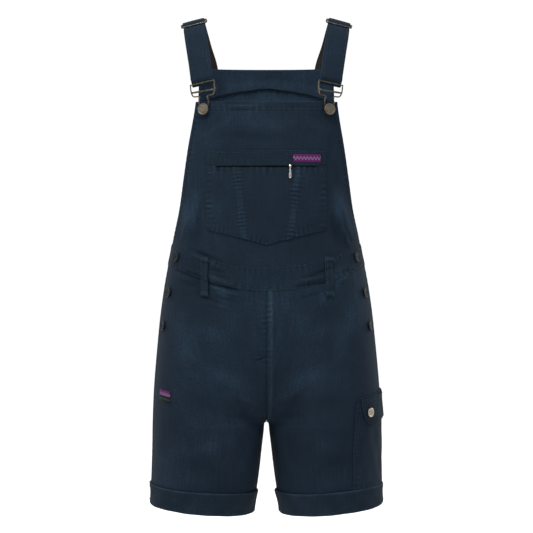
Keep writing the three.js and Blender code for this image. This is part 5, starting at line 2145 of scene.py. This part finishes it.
@dataclass(frozen=True)
class ShankButton:
    """A shank button: a lathed head with a raised rim and a brushed recess."""

    radius: float
    head: float
    shank: float
    stand: float
    dimple: float = 0.0

    def profile(self) -> Array:
        """Radius and height from the foot to the middle of the face.

        Returns:
            Radius and height of each ring, from the shank to the middle of the head.
        """
        top = self.stand + self.head
        points = [
            (0.01, 0),
            (self.shank, 0),
            (self.shank * 0.9, 0.3),
            (self.shank * 0.9, self.stand),
            (self.radius - 1.2, self.stand),
            (self.radius - 0.3, self.stand + 0.25),
            (self.radius, self.stand + 0.8),
            (self.radius - 0.05, top - 0.9),
            (self.radius - 0.5, top - 0.25),
            (self.radius - 1.1, top),
            (self.radius - 1.7, top - 0.12),
            (self.radius - 2.1, top - 0.55),
            (self.radius - 2.7, top - 0.75),
            (self.radius - 3.1, top - 0.6),
        ]
        if self.dimple:
            points += [(self.dimple + 1.2, top - 0.45), (self.dimple + 0.3, top - 0.5)]
            points += [(self.dimple, top - 1.3), (0.01, top - 1.5)]
        else:
            points += [(self.radius * 0.45, top - 0.62), (0.01, top - 0.5)]
        return np.array(points, float)

    def build(self, name: str, place: tuple, lift: float, finish: Finish, slot: Slot) -> Piece:
        """Makes the button on its place on the cloth.

        Args:
            name: the button's node.
            place: angle, level and side.
            lift: height of its foot over the garment's face.
            finish: its finish.
            slot: not used.

        Returns:
            The piece.
        """
        point, _ = FORM.cloth(*place, lift)
        out = unit(FORM.cloth(*place, 1)[0] - FORM.cloth(*place, 0)[0])
        across = unit(np.array([-out[1], out[0], 0.0]))
        down = np.cross(out, across)
        turn = 2 * math.pi * np.arange(48) / 48
        profile = self.profile()
        ring = np.cos(turn)[:, None] * across + np.sin(turn)[:, None] * down
        rings = point + profile[:, :1, None] * ring[None] + profile[:, 1:, None] * out
        vertices, faces = tube_parts(rings)
        return dress(link(f"{name}_turned", vertices, faces), finish, (name,))


@dataclass
class Buttons:
    """All shank buttons: two on the bib, three on each side opening, and one on the cargo flap."""

    side_places: tuple = ((-396.5, 25.0), (-457.5, 21.0), (-516.0, 17.7))

    def build(self) -> list[Piece]:
        """Makes the buttons.

        Returns:
            The finished pieces of this part.
        """
        made = []
        for side in (1.0, -1.0):
            angle, level, _ = FORM.place(side * 101.5, -160.5, -1)
            bib = ShankButton(9.6, 2.4, 3.4, 5)
            name = f"bib_button_{side_name(side)}"
            made.append(bib.build(name, (angle, level, side), 0.5, ANTIQUE_BRONZE, Slot.BRONZE))
            for k, (at, turn) in enumerate(self.side_places):
                place = (-math.radians(turn), at, side)
                button = ShankButton(8.5, 2.2, 3, 1.2, dimple=1.5)
                name = f"side_button_{side_name(side)}_{k + 1}"
                made.append(button.build(name, place, 1.0 if k == 0 else 0.5, GUNMETAL, Slot.GUNMETAL))
        cargo = ShankButton(7.6, 2.2, 3, 1.2)
        place = (-math.radians(45.0) / 2, -658.0, 1.0)
        made.append(cargo.build("cargo_button", place, 6.7, SATIN_NICKEL, Slot.NICKEL))
        return made


@dataclass
class Strap:
    """One shoulder's strap: a cloth front strap, a wire buckle, a slider and a webbing rear strap."""

    side: float
    half: float = 18.5
    thick: float = 1.7
    wire: float = 1.15
    bar: float = 1.6
    gap: float = 11.0
    rise: float = 44.0
    route: Array = field(init=False)
    length: float = field(init=False)
    slider_at: float = field(init=False)

    def __post_init__(self) -> None:
        """Works out the strap's route from the bib button over the shoulder to the back."""
        s = self.side
        first, _ = FORM.cloth(*FORM.place(s * 101.5, -160.5, -1), 2.7)
        ends = ((102.5, YOKE_TOP + 2), (99, YOKE_TOP - 28))
        last = [FORM.cloth(*FORM.place(s * x, z, 1), 2.0)[0] for x, z in ends]
        over = [
            (103.4, -92, -138),
            (105.9, -90, -115.7),
            (111.4, -78, -74),
            (117.7, -56, -36),
            (121.8, -26, -10.5),
            (123.8, 2, -4),
            (121, 32, -14),
            (112.5, 58, -44),
        ]
        points = np.array([first, *[(s * x, y, z) for x, y, z in over], *last])
        self.route = centripetal(points)
        run = np.concatenate([[0], np.cumsum(np.linalg.norm(np.diff(self.route, axis=0), axis=1))])
        self.length = float(run[-1])
        self.slider_at = 0.536 * self.length
        self._run = run

    def at(self, distance: Array) -> Array:
        """Middle of the strap at distances from the bib button."""
        return np.stack([np.interp(distance, self._run, self.route[:, k]) for k in range(3)], -1)

    def frame(self, distance: Array) -> tuple[Array, Array, Array, Array]:
        """Directions of the strap on its way.

        Args:
            distance: millimetres from the bib button.

        Returns:
            Middle, direction along, direction across and outward face.
        """
        distance = np.asarray(distance, float)
        held = np.clip(distance, 0, self.length)
        t = held / self.length
        middle = self.at(held)
        along = unit(self.at(np.minimum(held + 1, self.length)) - self.at(np.maximum(held - 1, 0)))
        lean = smoothstep(t, 0, 0.45) * (1 - 0.75 * smoothstep(t, 0.6, 1))
        turn = 0.34 * (1 - smoothstep(t, 0.1, 0.5)) - 0.3 * smoothstep(t, 0.6, 0.95)
        across = np.stack([np.full(t.shape, self.side), turn, -0.13 - 0.14 * lean], -1)
        across = unit(across - along * (across * along).sum(-1, keepdims=True))
        face = unit(np.cross(across, along) * self.side)
        return middle, along, across, face

    def place(self, distance: Array, height: Array, across: Array) -> Array:
        """Places given by distance along, height over the middle, and way across.

        Args:
            distance: way along the strap from its front end.
            height: height over its middle line.
            across: way across it from its centre.

        Returns:
            The points in the garment's frame.
        """
        given = (np.asarray(value, float) for value in (distance, height, across))
        distance, height, across = np.broadcast_arrays(*given)
        middle, along, side, face = self.frame(distance)
        below = np.minimum(distance, 0)[..., None]
        return middle + along * below + face * height[..., None] + side * across[..., None]

    def ribbon(self, name: str, line: Array, ripple: float) -> Piece:
        """A ribbon along a middle line of distances and heights.

        Args:
            name: the piece's name.
            line: pairs of distance and height.
            ripple: how uneven its edges and face are.

        Returns:
            The ribbon's closed wall.
        """
        run = unit(np.gradient(line, axis=0))
        off = np.stack([-run[:, 1], run[:, 0]], -1) * self.thick / 2
        half = np.array([0.25, 0.5, 0.68, 0.76, 0.8, 0.9, 0.975, 1])
        spread = np.concatenate([-half[::-1], [0], half])
        edge = 1 - 0.55 * np.clip((np.abs(spread) - 0.9) / 0.1, 0, 1) ** 2
        k = np.arange(len(line))[:, None]
        uneven = 0.35 * np.sin(k * 0.31 + self.side) * spread
        uneven = ripple * (uneven + 0.25 * np.sin(k * 0.83) * np.abs(spread) ** 2)
        groove = 0.22 * np.exp(-(((np.abs(spread) - 0.8) / 0.03) ** 2)) * (ripple > 0)
        bow = ripple * 0.35 * (1 - spread**2)
        walls = []
        for sign in (1, -1):
            distance = line[:, :1] + sign * off[:, :1] * edge
            height = line[:, 1:] + sign * off[:, 1:] * (edge - groove) + uneven + bow
            walls.append(self.place(distance, height, self.half * spread[None] + 0 * distance))
        return shell(name, walls[0], walls[1])

    def cloth_line(self) -> tuple[Array, Array]:
        """Middle line of the front strap, and its outer layer alone.

        Returns:
            The middle line as distance and height, and the same of the outer layer alone.
        """
        behind = -(self.wire + 0.1 + self.thick / 2)
        fold, upper, bend = self.rise - 3.2, self.slider_at - self.gap, 1.15
        outer = np.concatenate(
            [np.linspace(fold + 1.2, self.rise + 12, 14), np.linspace(self.rise + 15, upper - 12, 36)]
        )
        folded = 1 - smoothstep(outer, self.rise + 1, self.rise + 9)
        lay = mix(bend, self.thick / 2 + 0.3, smoothstep(outer, self.rise + 2, self.rise + 18))
        front = (behind - bend) * folded + lay
        back = front - 2 * lay
        turn = np.radians(np.linspace(270, 90, 11))
        middle = (front[0] + back[0]) / 2
        under = -(self.bar + 0.1 + self.thick / 2)
        top = [
            (outer[-1], front[-1]),
            (upper - 5, under * 0.55),
            (upper, under),
            (upper + 4.2, -0.6),
            (self.slider_at - 2.2, 1.7),
            (self.slider_at + 1.6, 2.25),
        ]
        over = smooth_route(np.array(top), 5)[1:]
        line = np.concatenate(
            [
                np.stack([outer, back], -1)[::-1],
                np.stack([outer[0] + bend * np.cos(turn), middle + bend * np.sin(turn)], -1)[1:-1],
                np.stack([outer, front], -1),
                over,
            ]
        )
        return line, np.concatenate([np.stack([outer, front], -1), over])

    def build(self) -> list[Piece]:
        """Makes the straps, the slider, the buckle and the stitches.

        Returns:
            The finished pieces of this part.
        """
        name = side_name(self.side)
        line, outer = self.cloth_line()
        front = self.ribbon(f"front_strap_{name}_cloth", line, 0.8)
        dress(front, NAVY_TWILL, (f"front_strap_{name}",))
        below = self.slider_at + self.gap
        start = (self.slider_at + 2.6, 2)
        rear_start = np.array([start, (below - 4, self.bar + 1.2), (below, self.bar + 1.25)])
        beyond = np.linspace(below + 4, self.length, 44)
        settle = np.clip((beyond - below) / (self.length - below) * 4, 0, 1)
        settled = np.stack([beyond, mix(2.0, 0.0, settle)], -1)
        rear_line = np.concatenate([smooth_route(rear_start, 4), settled])
        rear = self.ribbon(f"rear_strap_{name}_webbing", rear_line, 0.4)
        dress(rear, DARK_WEBBING, (f"rear_strap_{name}",))
        thread = Stitching()
        for across in (-0.8, 0.8):
            self.sew(thread, outer, across * self.half, self.thick / 2 + 0.35)
        self.box_tack(thread)
        stitches = thread.finished(f"strap_{name}_stitches", NAVY_THREAD)
        return [front, rear, self.slider(name), self.buckle(name), stitches]

    def sew(self, thread: Stitching, line: Array, across: float, lift: float) -> None:
        """Sews along the outer face at a way across the strap."""
        _, _, _, face = self.frame(line[:, 0])
        thread.row(self.place(line[:, 0], line[:, 1] + lift, across), face)

    def box_tack(self, thread: Stitching) -> None:
        """Sews the webbing's end to the back with a crossed box.

        Args:
            thread: the stitching that takes the rows.
        """
        low, high, wide = self.length - 4, self.length - 22, self.half - 3.5
        box = [(low, -wide), (low, wide), (high, wide), (high, -wide)]
        corners = [*box, box[0], box[2], box[3], box[1]]
        for (d0, w0), (d1, w1) in zip(corners, corners[1:]):
            distance, across = np.linspace(d0, d1, 20), np.linspace(w0, w1, 20)
            face = self.frame(distance)[3]
            thread.row(self.place(distance, self.thick / 2 + 0.25, across), face)

    def slider(self, name: str) -> Piece:
        """Makes the slider: a rounded frame of flattened wire with a middle bar.

        Args:
            name: the wearer's side in words.

        Returns:
            The slider's wire as one object.
        """
        wide = self.half + 3
        frame = [(-self.gap, -wide), (-self.gap, wide), (self.gap, wide), (self.gap, -wide)]
        corners = rounded_corners(frame, 3.0, 7)
        loop = self.place(self.slider_at + corners[:, 0], 0, corners[:, 1])
        face = self.frame(self.slider_at)[3]
        rim = tube_parts(round_rings(loop, self.bar, 14, face, closed=True), closed=True)
        middle = self.place(self.slider_at, 0, np.linspace(-wide, wide, 5))
        cross = tube_parts(round_rings(middle, self.wire, 12, face))
        wire = joined(f"slider_{name}_wire", [rim, cross])
        return dress(wire, BRONZE_WIRE, (f"slider_{name}",))

    def buckle(self, name: str) -> Piece:
        """Makes the wire buckle: strap loop, keyhole round the button's shank, and a cross bar.

        Args:
            name: the wearer's side in words.

        Returns:
            The buckle's wire as one object.
        """
        right = np.array(
            [
                (44, 0),
                (44, 19.3),
                (42.6, 20.8),
                (36, 21.1),
                (30, 20.6),
                (24.5, 18.8),
                (22.2, 15.5),
                (22, 9.5),
                (20, 6.8),
                (16, 7.6),
                (11, 8.2),
                (5, 6.8),
                (1, 5.7),
                (-2.6, 4.4),
                (-4.7, 2.2),
                (-5.1, 0),
            ],
            float,
        )
        keyhole = np.concatenate([right, right[-2:0:-1] * (1, -1)])
        fine = smooth_route(keyhole, 6, closed=True)
        loop = self.place(fine[:, 0], 0, fine[:, 1])
        face = self.frame(10.0)[3]
        hoop = tube_parts(round_rings(loop, self.wire, 12, face, closed=True), closed=True)
        ends = self.place(self.rise - 14, 0, np.linspace(-20.6, 20.6, 7))
        along = self.frame(self.rise - 14)[1]
        swell = self.bar * np.array([0.85, 1, 1, 1, 1, 1, 0.85])
        bar = tube_parts(round_rings(ends, swell, 14, along))
        wire = joined(f"buckle_{name}_wire", [hoop, bar])
        return dress(wire, BRONZE_WIRE, (f"buckle_{name}",))


def rounded_corners(corners: Sequence[tuple[float, float]], radius: float, steps: int) -> Array:
    """A closed outline with each corner rounded.

    Args:
        corners: its corners.
        radius: how far before and after a corner the bend runs.
        steps: places in each bend.

    Returns:
        The finer outline.
    """
    points = np.array(corners, float)
    found = []
    for before, here, after in zip(np.roll(points, 1, 0), points, np.roll(points, -1, 0)):
        start, end = here + unit(before - here) * radius, here + unit(after - here) * radius
        for t in np.linspace(0, 1, steps):
            middle = 0.2 * (start + end) / 2 + 0.8 * here
            found.append((1 - t) ** 2 * start + 2 * t * (1 - t) * middle + t**2 * end)
        found.append(mix(end, after, 0.35))
    return np.array(found)


def centripetal(points: Array, per_span: int = 40) -> Array:
    """A smooth line through points that never overshoots between close ones.

    Args:
        points: the points that it passes.
        per_span: places made for each span.

    Returns:
        Points of the line.
    """
    found = []
    count = len(points)
    for i in range(count - 1):
        p1, p2 = points[i], points[i + 1]
        p0 = points[i - 1] if i > 0 else 2 * p1 - p2
        p3 = points[i + 2] if i + 2 < count else 2 * p2 - p1
        d0, d1, d2 = (max(np.linalg.norm(b - a) ** 0.5, 1e-4) for a, b in ((p0, p1), (p1, p2), (p2, p3)))
        t1 = ((p1 - p0) / d0 - (p2 - p0) / (d0 + d1) + (p2 - p1) / d1) * d1
        t2 = ((p2 - p1) / d1 - (p3 - p1) / (d1 + d2) + (p3 - p2) / d2) * d1
        t = np.linspace(0, 1, per_span, endpoint=False)[:, None]
        cubic = (2 * p1 - 2 * p2 + t1 + t2) * t**3 + (-3 * p1 + 3 * p2 - 2 * t1 - t2) * t**2 + t1 * t + p1
        found.append(cubic)
    return np.concatenate([*found, points[-1:]])


@dataclass
class Studio:
    """The photograph's camera, a pale floor and soft lights."""

    eye: tuple = (0.0, -2.6, -0.418)
    lens: float = 103.3
    floor_level: float = -1.40
    # Each light: name, place, size, power and colour
    lights: tuple = (
        ("left_side", (-2.5, -1.5, 1.0), 1.0, 66.0, "#FFFFFF"),
        ("right_side", (2.5, -1.6, 0.9), 1.4, 36.0, "#F4F7FF"),
        ("overhead", (-0.3, -1.4, 1.9), 1.2, 124.0, "#FFFFFF"),
        ("rear_left", (-2.0, 2.4, 0.6), 1.4, 34.0, "#FFFFFF"),
        ("rear_right", (2.4, 2.0, 0.5), 1.0, 56.0, "#FFFFFF"),
    )
    aim: tuple = (0.0, 0.0, -0.42)

    def build(self) -> None:
        """Makes the floor, the lights, the world and the camera."""
        half, z = 30000.0, self.floor_level / MM
        corners = [(-half, -half, z), (half, -half, z), (half, half, z), (-half, half, z)]
        floor = link("studio_floor", corners, [(0, 1, 2, 3)], smooth=False)
        floor.data.materials.append(FLOOR_PAINT.material())
        for name, place, size, power, colour in self.lights:
            lamp = bpy.data.lights.new(f"{name}_light", "AREA")
            lamp.size, lamp.energy, lamp.color = size, power, srgb(colour)[:3]
            thing = bpy.data.objects.new(f"{name}_light", lamp)
            thing.location = place
            thing.rotation_euler = (Vector(self.aim) - Vector(place)).to_track_quat("-Z", "Y").to_euler()
            bpy.context.scene.collection.objects.link(thing)
        world = bpy.data.worlds.new("soft_white_room")
        world.use_nodes = True
        background = world.node_tree.nodes["Background"]
        background.inputs["Color"].default_value = srgb("#FFFFFF")
        background.inputs["Strength"].default_value = 1.04
        bpy.context.scene.world = world
        bpy.context.scene.view_settings.view_transform = "Standard"
        camera = bpy.data.objects.new("photo_camera", bpy.data.cameras.new("photo_camera"))
        camera.data.lens = self.lens
        camera.data.sensor_width = 36.0
        camera.location = self.eye
        camera.rotation_euler = (QUARTER, 0, 0)
        bpy.context.scene.collection.objects.link(camera)
        bpy.context.scene.camera = camera


def main() -> None:
    """Builds the garment's looks, then its studio, and logs how many pieces and faces were made."""
    logging.basicConfig(level=logging.INFO, format="%(message)s")
    parts = [Legs(), Waist(), Bib(), Back(), Cuffs(), BibPocket(), CargoPocket(), SideLabel(), Buttons()]
    parts += [Strap(1.0), Strap(-1.0)]
    pieces = [piece for part in parts for piece in part.build()]
    Studio().build()
    total = sum(len(piece.data.polygons) for piece in pieces)
    LOG.info("%d pieces, %d faces", len(pieces), total)


if __name__ == "__main__":
    main()
